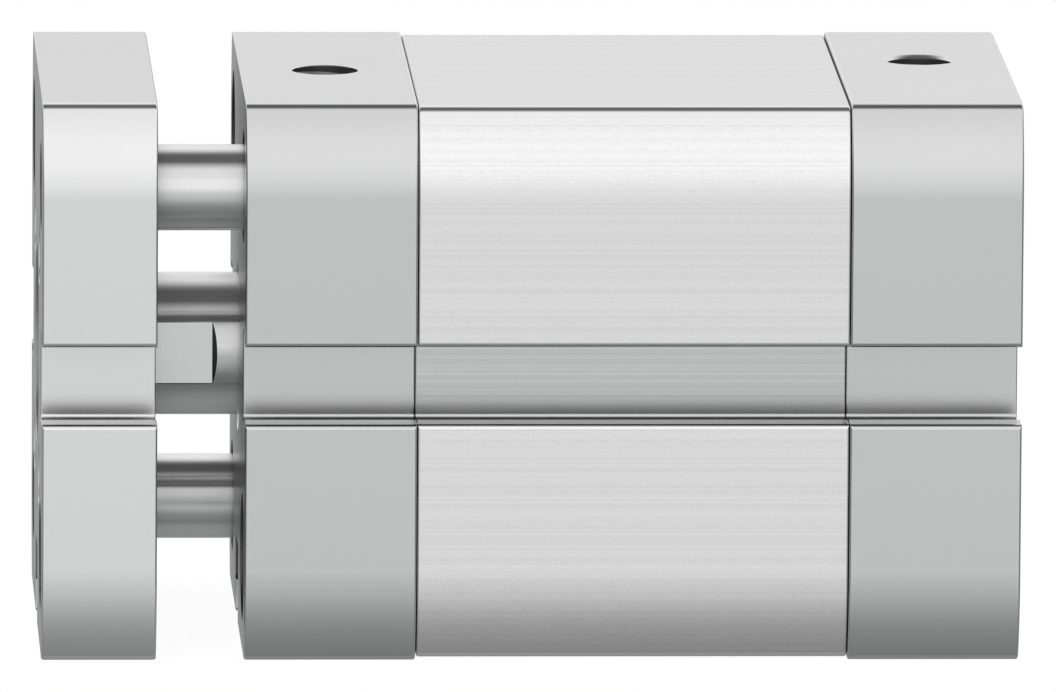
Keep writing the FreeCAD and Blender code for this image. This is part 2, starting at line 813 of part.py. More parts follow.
def make_ring_seal(name, station, ring_radius, cord):
    """A round-section ring about the axis."""
    ring = doc.addObject("Part::Torus", name)
    ring.Label = name
    ring.Placement = FreeCAD.Placement(Vector(0, 0, 0), FreeCAD.Rotation(Vector(0, 1, 0), 90))
    bind(ring, "Radius1", ring_radius)
    bind(ring, "Radius2", f"{cord} / 2")
    bind(ring, "Placement.Base.x", station)
    return ring


def make_collar_screws(name, face, count, sign):
    """Collar screws as separate solids: tapped head with a hex socket, and the screw's own shank."""
    body = new_body(name, face)
    top = f"{sign} * collar_recess"
    seat = f"{sign} * {COLLAR_SEAT}"
    cap = "bearing_cap_length" if sign > 0 else "end_cap_length"
    tip = f"{sign} * ({cap} + collar_reach)"
    tap_foot = f"{sign} * (collar_recess + collar_thread_depth)"
    head = turned(
        body,
        "collar_screw",
        [
            (top, "tap_diameter / 2"),
            (top, "collar_head_diameter / 2 - hole_chamfer"),
            (f"{top} + {sign} * hole_chamfer", "collar_head_diameter / 2"),
            (seat, "collar_head_diameter / 2"),
            (seat, "collar_shank_diameter / 2"),
            (f"{tip} - {sign} * hole_chamfer", "collar_shank_diameter / 2"),
            (tip, "collar_shank_diameter / 2 - hole_chamfer"),
            (tip, "0"),
            (tap_foot, "0"),
            (tap_foot, "tap_diameter / 2"),
        ],
        corner_at(SCREW_CORNER),
    )
    before = settle(body)
    socket = new_sketch(body, "socket_outline", "YZ_Plane", ("0", "0", top))
    add_hexagon(socket, "collar_socket", corner_at(SCREW_CORNER), "collar_socket_turn")
    recess = body.newObject("PartDesign::Pocket", "socket")
    recess.Profile = socket
    recess.Reversed = sign > 0
    bind(recess, "Length", "collar_socket_depth")
    removed(body, recess, before)
    around(body, [head, recess], count)
    return body


def make_head_screws(name, station, diameter, head, head_height, length, socket, count=1, offset=("0", "0")):
    """Low-head screws with hex sockets, their heads towards -X."""
    body = new_body(name, station)
    end = f"{head_height} + {length}"
    screw = turned(
        body,
        "screw",
        [
            ("0", "0"),
            ("0", f"{head} / 2 - hole_chamfer"),
            ("hole_chamfer", f"{head} / 2"),
            (head_height, f"{head} / 2"),
            (head_height, f"{diameter} / 2"),
            (f"{end} - hole_chamfer", f"{diameter} / 2"),
            (end, f"{diameter} / 2 - hole_chamfer"),
            (end, "0"),
        ],
        offset,
    )
    outline = new_sketch(body, "socket_outline", "YZ_Plane")
    add_hexagon(outline, socket, offset)
    recess = pocket(body, outline, f"{head_height} * socket_share")
    if count > 1:
        around(body, [screw, recess], count)
    return body


def make_piston():
    """Piston with grooves for two lip seals and the magnet, seats for the bumpers, rod and screw."""
    body = new_body("piston", PISTON_FRONT)
    land = "(bore_diameter / 2 - piston_land)"
    seal_root = "(bore_diameter / 2 - piston_seal_depth)"
    ring_inner = "bore_diameter / 2 - running_clearance - guide_ring_wall"
    magnet_root = f"({ring_inner} - magnet_wall - 2 * fit_clearance)"
    middle = "piston_length / 2"
    seal_far = "(seal_groove_inset + piston_seal_width)"
    seat = "bumper_seat"
    bumper_inner = "bumper_inner_diameter / 2 - fit_clearance"
    bumper_outer = "bumper_outer_diameter / 2 + fit_clearance"
    rod_radius = "rod_diameter / 2 + fit_clearance"
    groove_end = "(rod_groove_inset + piston_groove_width)"
    groove_radius = "rod_diameter / 2 + piston_cord + fit_clearance"
    screw_hole = "piston_screw_diameter / 2 + screw_clearance"
    head_radius = "piston_screw_head / 2 + screw_clearance"
    head_foot = f"piston_length - ({head_radius} - ({screw_hole}))"
    turned(
        body,
        "turned_piston",
        [
            ("0", rod_radius),
            ("0", bumper_inner),
            (seat, bumper_inner),
            (seat, bumper_outer),
            ("0", bumper_outer),
            ("0", land),
            ("seal_groove_inset", land),
            ("seal_groove_inset", seal_root),
            (seal_far, seal_root),
            (seal_far, land),
            (f"{middle} - magnet_width / 2", land),
            (f"{middle} - magnet_width / 2", magnet_root),
            (f"{middle} + magnet_width / 2", magnet_root),
            (f"{middle} + magnet_width / 2", land),
            (f"piston_length - {seal_far}", land),
            (f"piston_length - {seal_far}", seal_root),
            ("piston_length - seal_groove_inset", seal_root),
            ("piston_length - seal_groove_inset", land),
            ("piston_length", land),
            ("piston_length", bumper_outer),
            (f"piston_length - {seat}", bumper_outer),
            (f"piston_length - {seat}", bumper_inner),
            ("piston_length", bumper_inner),
            ("piston_length", head_radius),
            (head_foot, screw_hole),
            ("rod_seat_depth", screw_hole),
            ("rod_seat_depth", rod_radius),
            (groove_end, rod_radius),
            (groove_end, groove_radius),
            ("rod_groove_inset", groove_radius),
            ("rod_groove_inset", rod_radius),
        ],
    )
    return body


def make_piston_seal(name, station, sign):
    """A lip seal of U section, open towards the chamber that it seals."""
    root = "(bore_diameter / 2 - piston_seal_depth + fit_clearance)"
    lip = "(bore_diameter / 2 - seal_clearance)"
    width = "(piston_seal_width - 2 * fit_clearance)"
    body = new_body(name, station)

    def along(share):
        return f"{sign} * (fit_clearance + {width} * {share})"

    def across(share):
        return f"{root} + ({lip} - {root}) * {share}"

    turned(
        body,
        "lip_seal",
        [
            (along(0), across(0)),
            (along(1), across(0)),
            (along(1), across(0.8)),
            (along(0.2), across(1)),
            (along(0), across(0.95)),
            (along(0.55), across(0.58)),
            (along(0.55), across(0.3)),
            (along(0), across(0.22)),
        ],
    )
    return body


def make_band(name, inner, outer):
    """A ring in the middle groove of the piston."""
    body = new_body(name, f"{PISTON_FRONT} + piston_length / 2")
    half = "(magnet_width / 2 - fit_clearance)"
    turned(body, "band", [(f"-1 * {half}", inner), (half, inner), (half, outer), (f"-1 * {half}", outer)])
    return body


def make_piston_guide_ring():
    outer = "bore_diameter / 2 - running_clearance"
    body = make_band("piston_guide_ring", f"{outer} - guide_ring_wall", outer)
    slit = new_sketch(body, "slit_outline", "YZ_Plane")
    sides = ("-guide_ring_slit / 2", "guide_ring_slit / 2")
    span = ("bore_diameter / 4", "bore_diameter")
    add_polygon(slit, [(sides[0], span[0]), (sides[1], span[0]), (sides[1], span[1]), (sides[0], span[1])])
    pocket(body, slit, "2 * magnet_width", both_ways=True)
    return body


def make_bumper(name, station, sign):
    """A rubber ring in the piston's end face, standing a little proud of it."""
    body = new_body(name, station)
    foot = f"{sign} * (bumper_seat - fit_clearance)"
    crown = f"{sign} * (-bumper_proud)"
    inner = "bumper_inner_diameter / 2"
    outer = "bumper_outer_diameter / 2"
    turned(
        body,
        "bumper",
        [
            (foot, inner),
            (foot, outer),
            ("0", outer),
            (crown, f"{outer} - bumper_proud"),
            (crown, f"{inner} + bumper_proud"),
            ("0", inner),
        ],
    )
    return body


def make_piston_screw():
    """Countersunk screw that holds the piston on the rod, its head in the piston's rear face."""
    body = new_body("piston_screw", PISTON_REAR)
    shank = "piston_screw_diameter / 2"
    head = "piston_screw_head / 2"
    turned(
        body,
        "screw",
        [
            ("0", "0"),
            ("0", head),
            (f"-1 * ({head} - {shank})", shank),
            ("-piston_screw_length + hole_chamfer", shank),
            ("-piston_screw_length", f"{shank} - hole_chamfer"),
            ("-piston_screw_length", "0"),
        ],
    )
    before = settle(body)
    outline = new_sketch(body, "socket_outline", "YZ_Plane")
    add_hexagon(outline, "piston_screw_socket")
    recess = body.newObject("PartDesign::Pocket", "socket")
    recess.Profile = outline
    bind(recess, "Length", "piston_screw_socket_depth")
    removed(body, recess, before)
    return body


def make_moving_pieces():
    """The yoke plate, the three rods, the piston and all that is fixed to them."""
    pieces = [make_yoke_plate(), make_piston_rod()]
    for side, corner in GUIDE_CORNERS.items():
        pieces.append(make_guide_rod(f"guide_rod_{side}", corner))
    pieces.append(
        make_head_screws(
            "yoke_centre_screw",
            f"{YOKE_FACE} + yoke_centring_depth",
            "yoke_screw_diameter",
            "yoke_screw_head",
            "yoke_screw_head_height",
            "yoke_screw_length",
            "yoke_screw_socket",
        )
    )
    pieces.append(
        make_head_screws(
            "guide_rod_screws",
            f"{YOKE_FACE} + head_recess",
            "guide_screw_diameter",
            "guide_screw_head",
            "guide_screw_head_height",
            "guide_screw_length",
            "guide_screw_socket",
            count=2,
            offset=corner_at(GUIDE_CORNERS["upper"]),
        )
    )
    magnet_outer = "bore_diameter / 2 - running_clearance - guide_ring_wall - fit_clearance"
    pieces += [
        make_piston(),
        make_piston_screw(),
        make_ring_seal(
            "piston_ring_seal",
            f"{PISTON_FRONT} + rod_groove_inset + piston_groove_width / 2",
            "rod_diameter / 2 + piston_cord / 2 + fit_clearance / 2",
            "(piston_cord - fit_clearance)",
        ),
        make_band("piston_magnet", f"{magnet_outer} - magnet_wall", magnet_outer),
        make_piston_guide_ring(),
        make_piston_seal("front_piston_seal", f"{PISTON_FRONT} + seal_groove_inset", 1),
        make_piston_seal("rear_piston_seal", f"{PISTON_REAR} - seal_groove_inset", -1),
        make_bumper("front_bumper", PISTON_FRONT, 1),
        make_bumper("rear_bumper", PISTON_REAR, -1),
    ]
    return pieces


def make_fixed_pieces():
    """The barrel, the two caps and all that stays with them."""
    inner_face = f"({CAP_FACE} + bearing_cap_length + spigot_length)"
    ring_radius = f"({SPIGOT_GROOVE_RADIUS} + spigot_cord / 2 + fit_clearance)"
    groove_middle = "(spigot_groove_wall + spigot_groove_width / 2)"
    front_groove = f"{BARREL_FRONT} + {groove_middle}"
    rear_groove = f"-end_cap_length - {groove_middle}"
    rod_bush_start = f"{inner_face} - rod_bush_inset - rod_bush_length"
    pieces = [
        make_cylinder_barrel(),
        make_bearing_cap(),
        make_end_cap(),
        make_bush("rod_bush", rod_bush_start, "rod_bush_length", "rod_diameter"),
        make_rod_seal(),
        make_ring_seal("bearing_cap_ring_seal", front_groove, ring_radius, "spigot_cord"),
        make_ring_seal("end_cap_ring_seal", rear_groove, ring_radius, "spigot_cord"),
        make_collar_screws("front_collar_screws", CAP_FACE, 2, 1),
        make_collar_screws("rear_collar_screws", "0", 4, -1),
    ]
    for side, corner in GUIDE_CORNERS.items():
        station = f"{CAP_FACE} + guide_bush_inset"
        pieces.append(
            make_bush(f"guide_bush_{side}", station, "guide_bush_length", "guide_diameter", corner_at(corner))
        )
    return pieces


def check_and_write(pieces):
    """Stops on anything that failed, then writes each sub-part to its own file."""
    doc.recompute()
    for item in doc.Objects:
        if "Invalid" in item.State or "Error" in item.State:
            raise RuntimeError(f"{item.Label} failed: {item.State}")
    for piece in pieces:
        if piece.Shape.isNull() or not piece.Shape.isValid():
            raise RuntimeError(f"{piece.Label} has no valid shape")
    os.makedirs("parts", exist_ok=True)
    for piece in pieces:
        piece.Shape.exportStep(f"parts/{piece.Label}.step")
        print(f"{piece.Label}: {len(piece.Shape.Solids)} solids, {piece.Shape.Volume:.1f} mm3")


check_and_write(make_moving_pieces() + make_fixed_pieces())
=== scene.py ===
"""Looks of a guided compact pneumatic cylinder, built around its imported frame. Lengths are in metres.

The cylinder's axis is X, the rod comes out towards -X, Z is up, and the camera looks mostly along +Y.
"""

import math

import bmesh
import bpy
from mathutils import Matrix, Vector


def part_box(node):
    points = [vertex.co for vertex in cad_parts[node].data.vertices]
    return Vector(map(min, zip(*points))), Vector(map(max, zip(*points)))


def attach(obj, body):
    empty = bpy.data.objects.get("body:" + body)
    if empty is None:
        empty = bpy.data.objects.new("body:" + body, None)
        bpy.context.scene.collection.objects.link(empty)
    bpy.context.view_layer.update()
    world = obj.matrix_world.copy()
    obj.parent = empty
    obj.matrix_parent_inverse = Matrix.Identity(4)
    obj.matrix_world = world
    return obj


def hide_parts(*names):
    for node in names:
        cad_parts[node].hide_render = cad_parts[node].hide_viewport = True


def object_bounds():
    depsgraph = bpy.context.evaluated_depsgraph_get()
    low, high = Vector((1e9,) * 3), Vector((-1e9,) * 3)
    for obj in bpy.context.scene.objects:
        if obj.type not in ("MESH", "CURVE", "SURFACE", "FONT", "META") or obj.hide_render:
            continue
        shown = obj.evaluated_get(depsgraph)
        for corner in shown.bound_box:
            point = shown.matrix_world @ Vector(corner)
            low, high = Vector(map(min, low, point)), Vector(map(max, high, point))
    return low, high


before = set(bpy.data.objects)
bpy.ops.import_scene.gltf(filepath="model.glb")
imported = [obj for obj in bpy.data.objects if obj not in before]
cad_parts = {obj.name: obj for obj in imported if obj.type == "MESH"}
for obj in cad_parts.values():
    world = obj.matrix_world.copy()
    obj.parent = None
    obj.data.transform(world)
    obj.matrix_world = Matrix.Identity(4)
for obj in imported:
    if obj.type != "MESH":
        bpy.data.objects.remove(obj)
cad_low, cad_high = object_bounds()
scene = bpy.context.scene
scene.view_settings.view_transform = "Standard"

MM = 0.001

# Stations along the axis and the section's half width, read from the frame.
YOKE_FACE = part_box("yoke_plate")[0].x
YOKE_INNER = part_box("yoke_plate")[1].x
CAP_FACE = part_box("bearing_cap")[0].x
BARREL_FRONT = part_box("cylinder_barrel")[0].x
BARREL_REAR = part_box("cylinder_barrel")[1].x
REAR_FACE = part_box("end_cap")[1].x
HALF_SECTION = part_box("yoke_plate")[1].z
HALF_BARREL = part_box("cylinder_barrel")[1].z

# The floor lies a little below the object, so that no faces coincide.
FLOOR_GAP = 0.02 * MM
FLOOR_LEVEL = cad_low.z - FLOOR_GAP

# Section: upright sides that curve in to four rounded creases.
SIDE_FLAT = 26.0 * MM
SIDE_RADIUS = 13.5 * MM
CREASE_ROUND = 0.9 * MM

# Sensor grooves of T section.
SLOT_MOUTH = 5.4 * MM
SLOT_LIP = 2.3 * MM
SLOT_WIDTH = 6.5 * MM
SLOT_DEPTH = 5.65 * MM
SLOT_CORNER = 0.45 * MM

# Fastening square: two corners hold the guide rods, the other two the collar screws.
CORNER = 13.0 * MM
GUIDE_CORNERS = {"upper": (-CORNER, CORNER), "lower": (CORNER, -CORNER)}
SCREW_CORNERS = [(CORNER, CORNER), (-CORNER, -CORNER)]
ALL_CORNERS = [(CORNER, CORNER), (-CORNER, CORNER), (-CORNER, -CORNER), (CORNER, -CORNER)]
CORNER_REACH = 4.8 * MM

# Rounding of the grooves' lips, of the outline's edges at its sides and on top, of the grooves' ends, of
# holes and of the ports' rims.
LIP_ROUND = 0.36 * MM
OUTLINE_ROUND = 0.17 * MM
TOP_ROUND = 0.03 * MM
GROOVE_ROUND = 0.1 * MM
HOLE_ROUND = 0.05 * MM
PORT_ROUND = 0.02 * MM
NEAR = 0.01 * MM
SHARP_ANGLE = math.radians(28)
ROUND_SEGMENTS = 3
FLAT_WEIGHT = 100

# How far cutters reach past the faces that they cut.
OVERREACH = 1.0 * MM

# Least part of a face's normal along a direction that it looks in: partly, mostly or squarely.
PARTLY = 0.5
MOSTLY = 0.9
SQUARELY = 0.99

# Places of a piece's materials after the main one. The hollows, the walls and the inner end take darker
# metals than the main one: painted shade.
EDGES = 1
PAINTED_SHADE_HOLLOWS = 2
PAINTED_SHADE_WALLS = 3
PAINTED_SHADE_END = 4

# The caps stand this far off the barrel, outside their spigots.
SEAM_GAP = 0.06 * MM

# Steps round a full circle and round an arc of the outline.
RING_STEPS = 96
ARC_STEPS = 16
CORNER_STEPS = 8


def arc(centre, radius, start, end, steps):
    """Points along an arc, both ends included."""
    points = []
    for index in range(steps + 1):
        angle = start + (end - start) * index / steps
        points.append((centre[0] + radius * math.cos(angle), centre[1] + radius * math.sin(angle)))
    return points


def groove_path(inset):
    """One sensor groove as pairs of depth below the caps' wall and place along it, from plus to minus."""
    middle = SLOT_WIDTH / 2 - SLOT_CORNER
    near = SLOT_LIP + SLOT_CORNER
    far = SLOT_DEPTH - SLOT_CORNER
    half = [(inset, SLOT_MOUTH / 2), (SLOT_LIP, SLOT_MOUTH / 2)]
    half += arc((near, middle), SLOT_CORNER, math.pi, math.pi / 2, CORNER_STEPS)
    half += arc((far, middle), SLOT_CORNER, math.pi / 2, 0, CORNER_STEPS)
    return half + [(depth, -along) for depth, along in reversed(half)]


class Section:
    """Where the body's outline turns, for one half width: middles of its side arcs and of its creases."""

    def __init__(self, half):
        self.half = half
        self.flat = SIDE_FLAT / 2
        self.side = half - SIDE_RADIUS
        self.shoulder = half - CREASE_ROUND
        reach = SIDE_RADIUS - CREASE_ROUND
        rise = self.shoulder - self.flat
        self.lean = math.asin(rise / reach)
        self.crease = self.side + math.sqrt(reach ** 2 - rise ** 2)

    def outline(self, inset):
        """The outline in Y and Z: flat top and bottom, curved sides, grooves on three sides."""
        groove = groove_path(inset)
        upright = math.pi / 2
        right = arc((self.crease, self.shoulder), CREASE_ROUND, upright, self.lean, CORNER_STEPS)
        right += arc((self.side, self.flat), SIDE_RADIUS, self.lean, 0, ARC_STEPS)[1:]
        right += [(HALF_SECTION - depth, along) for depth, along in groove]
        right += arc((self.side, -self.flat), SIDE_RADIUS, 0, -self.lean, ARC_STEPS)
        right += arc((self.crease, -self.shoulder), CREASE_ROUND, -self.lean, -upright, CORNER_STEPS)[1:]
        bottom = [(along, -HALF_SECTION + depth) for depth, along in groove]
        left = [(-across, up) for across, up in reversed(right)]
        return right + bottom + left

    def has(self, point):
        """Whether a point lies on the outer outline, and not in a groove or on a hole."""
        across, up = abs(point.y), abs(point.z)
        from_side = math.hypot(across - self.side, up - self.flat)
        on_flat = max(across, up) > self.half - NEAR
        return on_flat or abs(from_side - SIDE_RADIUS) < NEAR or self.on_crease(point)

    def on_crease(self, point):
        """Whether a point lies on one of the rounded creases."""
        past = abs(point.y) - self.crease, abs(point.z) - self.shoulder
        return min(past) > -NEAR and abs(math.hypot(*past) - CREASE_ROUND) < NEAR

    def top_share(self, point):
        """1 on the flat top, 0 on the sides and the bottom, and between the two round an upper crease."""
        turn = math.atan2(point.z - self.shoulder, abs(point.y) - self.crease)
        turn = turn if point.z > 0 else 0.0
        return min(1.0, max(0.0, (turn - self.lean) / (math.pi / 2 - self.lean)))

    def in_groove(self, point):
        """Whether a point lies in a groove, below the rounding of its lips."""
        near, far = sorted((abs(point.y), abs(point.z)))
        floor = HALF_SECTION - SLOT_DEPTH - NEAR
        return near < SLOT_WIDTH / 2 + NEAR and floor < far < self.half - LIP_ROUND

    def in_shade(self, point, normal):
        """Whether a face of a groove looks away from the light: behind the lips, or under the upper one."""
        depth = HALF_SECTION - max(abs(point.y), abs(point.z))
        behind_lips = SLOT_LIP - NEAR < depth < SLOT_DEPTH - SLOT_CORNER
        return self.in_groove(point) and (behind_lips or normal.z < -PARTLY)


CAP_SECTION = Section(HALF_SECTION)
BARREL_SECTION = Section(HALF_BARREL)


def new_piece(name, mesh_parts):
    """An object from a bmesh, with its faces turned outwards and shaded smooth."""
    bmesh.ops.recalc_face_normals(mesh_parts, faces=mesh_parts.faces)
    for face in mesh_parts.faces:
        face.smooth = True
    mesh = bpy.data.meshes.new(name)
    mesh_parts.to_mesh(mesh)
    mesh_parts.free()
    piece = bpy.data.objects.new(name, mesh)
    scene.collection.objects.link(piece)
    return piece


def prism(name, outline, start, end):
    """An outline in Y and Z drawn out along X."""
    parts = bmesh.new()
    rings = [[parts.verts.new((place, across, up)) for across, up in outline] for place in (start, end)]
    count = len(outline)
    for index in range(count):
        after = (index + 1) % count
        parts.faces.new((rings[0][index], rings[0][after], rings[1][after], rings[1][index]))
    for ring in rings:
        parts.faces.new(ring)
    return new_piece(name, parts)


def turned(name, steps, centre=(0.0, 0.0), upright=False, ring_steps=RING_STEPS):
    """A round solid from pairs of place along its axis and radius; its axis is X, or Z if it is upright."""
    parts = bmesh.new()
    rings = []
    for place, radius in steps:
        ring = []
        for index in range(ring_steps):
            angle = 2 * math.pi * index / ring_steps
            across, along = radius * math.cos(angle), radius * math.sin(angle)
            if upright:
                ring.append(parts.verts.new((centre[0] + across, centre[1] + along, place)))
            else:
                ring.append(parts.verts.new((place, centre[0] + across, centre[1] + along)))
        rings.append(ring)
    for lower, upper in zip(rings, rings[1:]):
        for index in range(ring_steps):
            after = (index + 1) % ring_steps
            parts.faces.new((lower[index], lower[after], upper[after], upper[index]))
    parts.faces.new(rings[0])
    parts.faces.new(rings[-1])
    return new_piece(name, parts)


def ring_of_section(name, section, centre=(0.0, 0.0), ring_steps=RING_STEPS):
    """A closed ring about X whose section is a loop of pairs of place along X and radius."""
    parts = bmesh.new()
    loops = []
    for index in range(ring_steps):
        angle = 2 * math.pi * index / ring_steps
        across, up = math.cos(angle), math.sin(angle)
        loops.append(
            [parts.verts.new((x, centre[0] + r * across, centre[1] + r * up)) for x, r in section]
        )
    count = len(section)
    for index in range(ring_steps):
        here, there = loops[index], loops[(index + 1) % ring_steps]
        for corner in range(count):
            after = (corner + 1) % count
            parts.faces.new((here[corner], here[after], there[after], there[corner]))
    return new_piece(name, parts)


def hexagon(name, width, start, end, centre, turn):
    """A hexagon of a width across flats, drawn out along X."""
    radius = width / math.sqrt(3)
    outline = []
    for index in range(6):
        angle = turn + index * math.pi / 3
        outline.append((centre[0] + radius * math.cos(angle), centre[1] + radius * math.sin(angle)))
    return prism(name, outline, start, end)


def settle_mesh(piece):
    """Makes what the piece's modifiers give its own mesh."""
    bpy.context.view_layer.update()
    graph = bpy.context.evaluated_depsgraph_get()
    finished = bpy.data.meshes.new_from_object(piece.evaluated_get(graph))
    piece.modifiers.clear()
    raw = piece.data
    piece.data = finished
    bpy.data.meshes.remove(raw)
    finished.name = piece.name


def cut(piece, cutters):
    """Takes the cutters out of a piece and removes them."""
    for cutter in cutters:
        modifier = piece.modifiers.new(cutter.name, "BOOLEAN")
        modifier.operation = "DIFFERENCE"
        modifier.solver = "EXACT"
        modifier.object = cutter
    settle_mesh(piece)
    for cutter in cutters:
        mesh = cutter.data
        bpy.data.objects.remove(cutter)
        bpy.data.meshes.remove(mesh)


def at_corner_hole(point):
    """Whether a point lies on the wall or rim of a hole of the fastening square."""
    return math.hypot(abs(point.y) - CORNER, abs(point.z) - CORNER) < CORNER_REACH


def edge_round(ends, section, ports, hole_round):
    """How far the rounding of one sharp edge goes, by where its ends lie."""
    for port in ports:
        if all((point.xy - Vector(port)).length < PORT_ZONE for point in ends):
            return PORT_ROUND
    on_outline = section and all(section.has(point) for point in ends)
    if (ends[0].yz - ends[1].yz).length < NEAR:
        return LIP_ROUND if on_outline else hole_round
    if section and all(section.in_groove(point) for point in ends):
        return GROOVE_ROUND
    if not on_outline:
        return hole_round
    rod_side = min(abs(ends[0].x - face) for face in (YOKE_FACE, CAP_FACE)) < NEAR
    share = section.top_share((ends[0] + ends[1]) / 2) if rod_side else 0.0
    return OUTLINE_ROUND + (TOP_ROUND - OUTLINE_ROUND) * share


def soften(piece, section=None, ports=(), hole_round=HOLE_ROUND, sharp=SHARP_ANGLE):
    """Rounds the outer edges of a piece, which has the body's section or none; inner corners stay sharp."""
    parts = bmesh.new()
    parts.from_mesh(piece.data)
    weight = parts.edges.layers.float.new("bevel_weight_edge")
    widest = max(LIP_ROUND, hole_round)
    for edge in parts.edges:
        if len(edge.link_faces) != 2 or edge.calc_face_angle(0) < sharp:
            continue
        if not edge.is_convex:
            edge.smooth = False
            continue
        ends = [vertex.co for vertex in edge.verts]
        edge[weight] = edge_round(ends, section, ports, hole_round) / widest
    parts.to_mesh(piece.data)
    parts.free()
    modifier = piece.modifiers.new("broken_edges", "BEVEL")
    modifier.limit_method = "WEIGHT"
    modifier.width = widest
    modifier.segments = ROUND_SEGMENTS
    modifier.use_clamp_overlap = False
    modifier.loop_slide = False
    modifier.material = min(EDGES, len(piece.data.materials) - 1)
    flats = piece.modifiers.new("even_flats", "WEIGHTED_NORMAL")
    flats.weight = FLAT_WEIGHT
    flats.keep_sharp = True
    settle_mesh(piece)


def wear(piece, *materials):
    """Gives a piece its materials: the main one, then those of its broken edges and its hollows, where darker
    metals are painted shade.
    """
    for material in materials:
        piece.data.materials.append(material)


def finish_and_paint_shade(piece, section):
    """The creases take the finish of the edges; corner holes and groove walls that look away from the light
    take a dark metal, which is painted shade.
    """
    for face in piece.data.polygons:
        if abs(face.normal.x) > MOSTLY:
            continue
        if section.on_crease(face.center):
            face.material_index = EDGES
        # Corner holes and groove walls in shade take the dark metal of painted shade.
        elif at_corner_hole(face.center) or section.in_shade(face.center, face.normal):
            face.material_index = PAINTED_SHADE_HOLLOWS


def paint_shade_on_end(piece, place, index):
    """The flat end of a piece at a place along the axis takes one of its materials, here the dark one of
    painted shade.
    """
    for face in piece.data.polygons:
        if abs(face.normal.x) > SQUARELY and abs(face.center.x - place) < NEAR:
            face.material_index = index


def place_piece(piece, body, slot, *nodes):
    """Gives a piece its body and hides the frame's nodes that it stands for; the slot is not used."""
    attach(piece, body)
    if nodes:
        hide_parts(*nodes)


# Shared shader effects and the materials

def socket(group, name, kind, default=None, output=False):
    """One named socket of a node group."""
    made = group.interface.new_socket(name, in_out="OUTPUT" if output else "INPUT", socket_type=kind)
    if default is not None:
        made.default_value = default
    return made


def new_group(name):
    group = bpy.data.node_groups.new(name, "ShaderNodeTree")
    return group, group.nodes.new("NodeGroupInput"), group.nodes.new("NodeGroupOutput")


def math_node(tree, operation, *values):
    """A Math node with its inputs linked or set."""
    node = tree.nodes.new("ShaderNodeMath")
    node.operation = operation
    for slot, value in zip(node.inputs, values):
        if isinstance(value, bpy.types.NodeSocket):
            tree.links.new(value, slot)
        else:
            slot.default_value = value
    return node.outputs[0]


def noise(tree, place, scale, detail=2.0):
    """A noise texture at a place; the scale is a number or a socket."""
    node = tree.nodes.new("ShaderNodeTexNoise")
    node.inputs["Detail"].default_value = detail
    tree.links.new(place, node.inputs["Vector"])
    if isinstance(scale, bpy.types.NodeSocket):
        tree.links.new(scale, node.inputs["Scale"])
    else:
        node.inputs["Scale"].default_value = scale
    return node.outputs["Fac"]


def ranged(tree, value, low, high, start=0.3, end=0.7):
    """A value from one range spread over another; a noise lies mostly between 0.3 and 0.7."""
    node = tree.nodes.new("ShaderNodeMapRange")
    for name, number in (("From Min", start), ("From Max", end), ("To Min", low), ("To Max", high)):
        node.inputs[name].default_value = number
    tree.links.new(value, node.inputs["Value"])
    return node.outputs["Result"]


# Scales of the noise behind the lines, the grain and the mottle. The deep lines are the peaks of a coarser
# noise: its scale as a share of the lines' scale, and where its peaks start and end.
LINE_FINENESS = 6000.0
GRAIN_FINENESS = 5000.0
MOTTLE_SCALE = 60.0
DEEP_LINE_SHARE = 0.6
DEEP_LINE_START = 0.74
DEEP_LINE_END = 0.84


def make_finish_group():
    """A worked metal or moulded surface: lines drawn out along chosen axes, a few deeper lines, a fine grain
    and a slow mottle."""
    group, inside, outside = new_group("worked_surface")
    socket(group, "Drawn Out", "NodeSocketVector", (1.0, 1.0, 1.0))
    socket(group, "Line Fineness", "NodeSocketFloat", LINE_FINENESS)
    socket(group, "Grain Fineness", "NodeSocketFloat", GRAIN_FINENESS)
    for name in ("Lines", "Deep Lines", "Grain", "Mottle"):
        socket(group, name, "NodeSocketFloat", output=True)
    place = group.nodes.new("ShaderNodeTexCoord").outputs["Object"]
    drawn = group.nodes.new("ShaderNodeVectorMath")
    drawn.operation = "MULTIPLY"
    group.links.new(place, drawn.inputs[0])
    group.links.new(inside.outputs["Drawn Out"], drawn.inputs[1])
    fineness = inside.outputs["Line Fineness"]
    lines = noise(group, drawn.outputs[0], fineness)
    deep = noise(group, drawn.outputs[0], math_node(group, "MULTIPLY", fineness, DEEP_LINE_SHARE), 0.0)
    group.links.new(lines, outside.inputs["Lines"])
    deepest = ranged(group, deep, 0.0, 1.0, DEEP_LINE_START, DEEP_LINE_END)
    group.links.new(deepest, outside.inputs["Deep Lines"])
    group.links.new(noise(group, place, inside.outputs["Grain Fineness"], 1.0), outside.inputs["Grain"])
    group.links.new(noise(group, place, MOTTLE_SCALE), outside.inputs["Mottle"])
    return group


WORKED_SURFACE = make_finish_group()


def new_material(name):
    """A material, its node tree and its Principled shader."""
    material = bpy.data.materials.new(name)
    material.use_nodes = True
    tree = material.node_tree
    return material, tree, tree.nodes["Principled BSDF"]


class Finish:
    """How strongly a surface shows its lines and grain, how rough it is and how far its shine is drawn."""

    def __init__(
        self, roughness, drawn_out=(1.0, 1.0, 1.0), lines=0.01, deep=0.0, grain=0.01, bump=0.03,
        drawn_shine=0.0,
    ):
        self.roughness = roughness
        self.drawn_shine = drawn_shine
        self.drawn_out = drawn_out
        self.lines = lines
        self.deep = deep
        self.grain = grain
        self.bump = bump


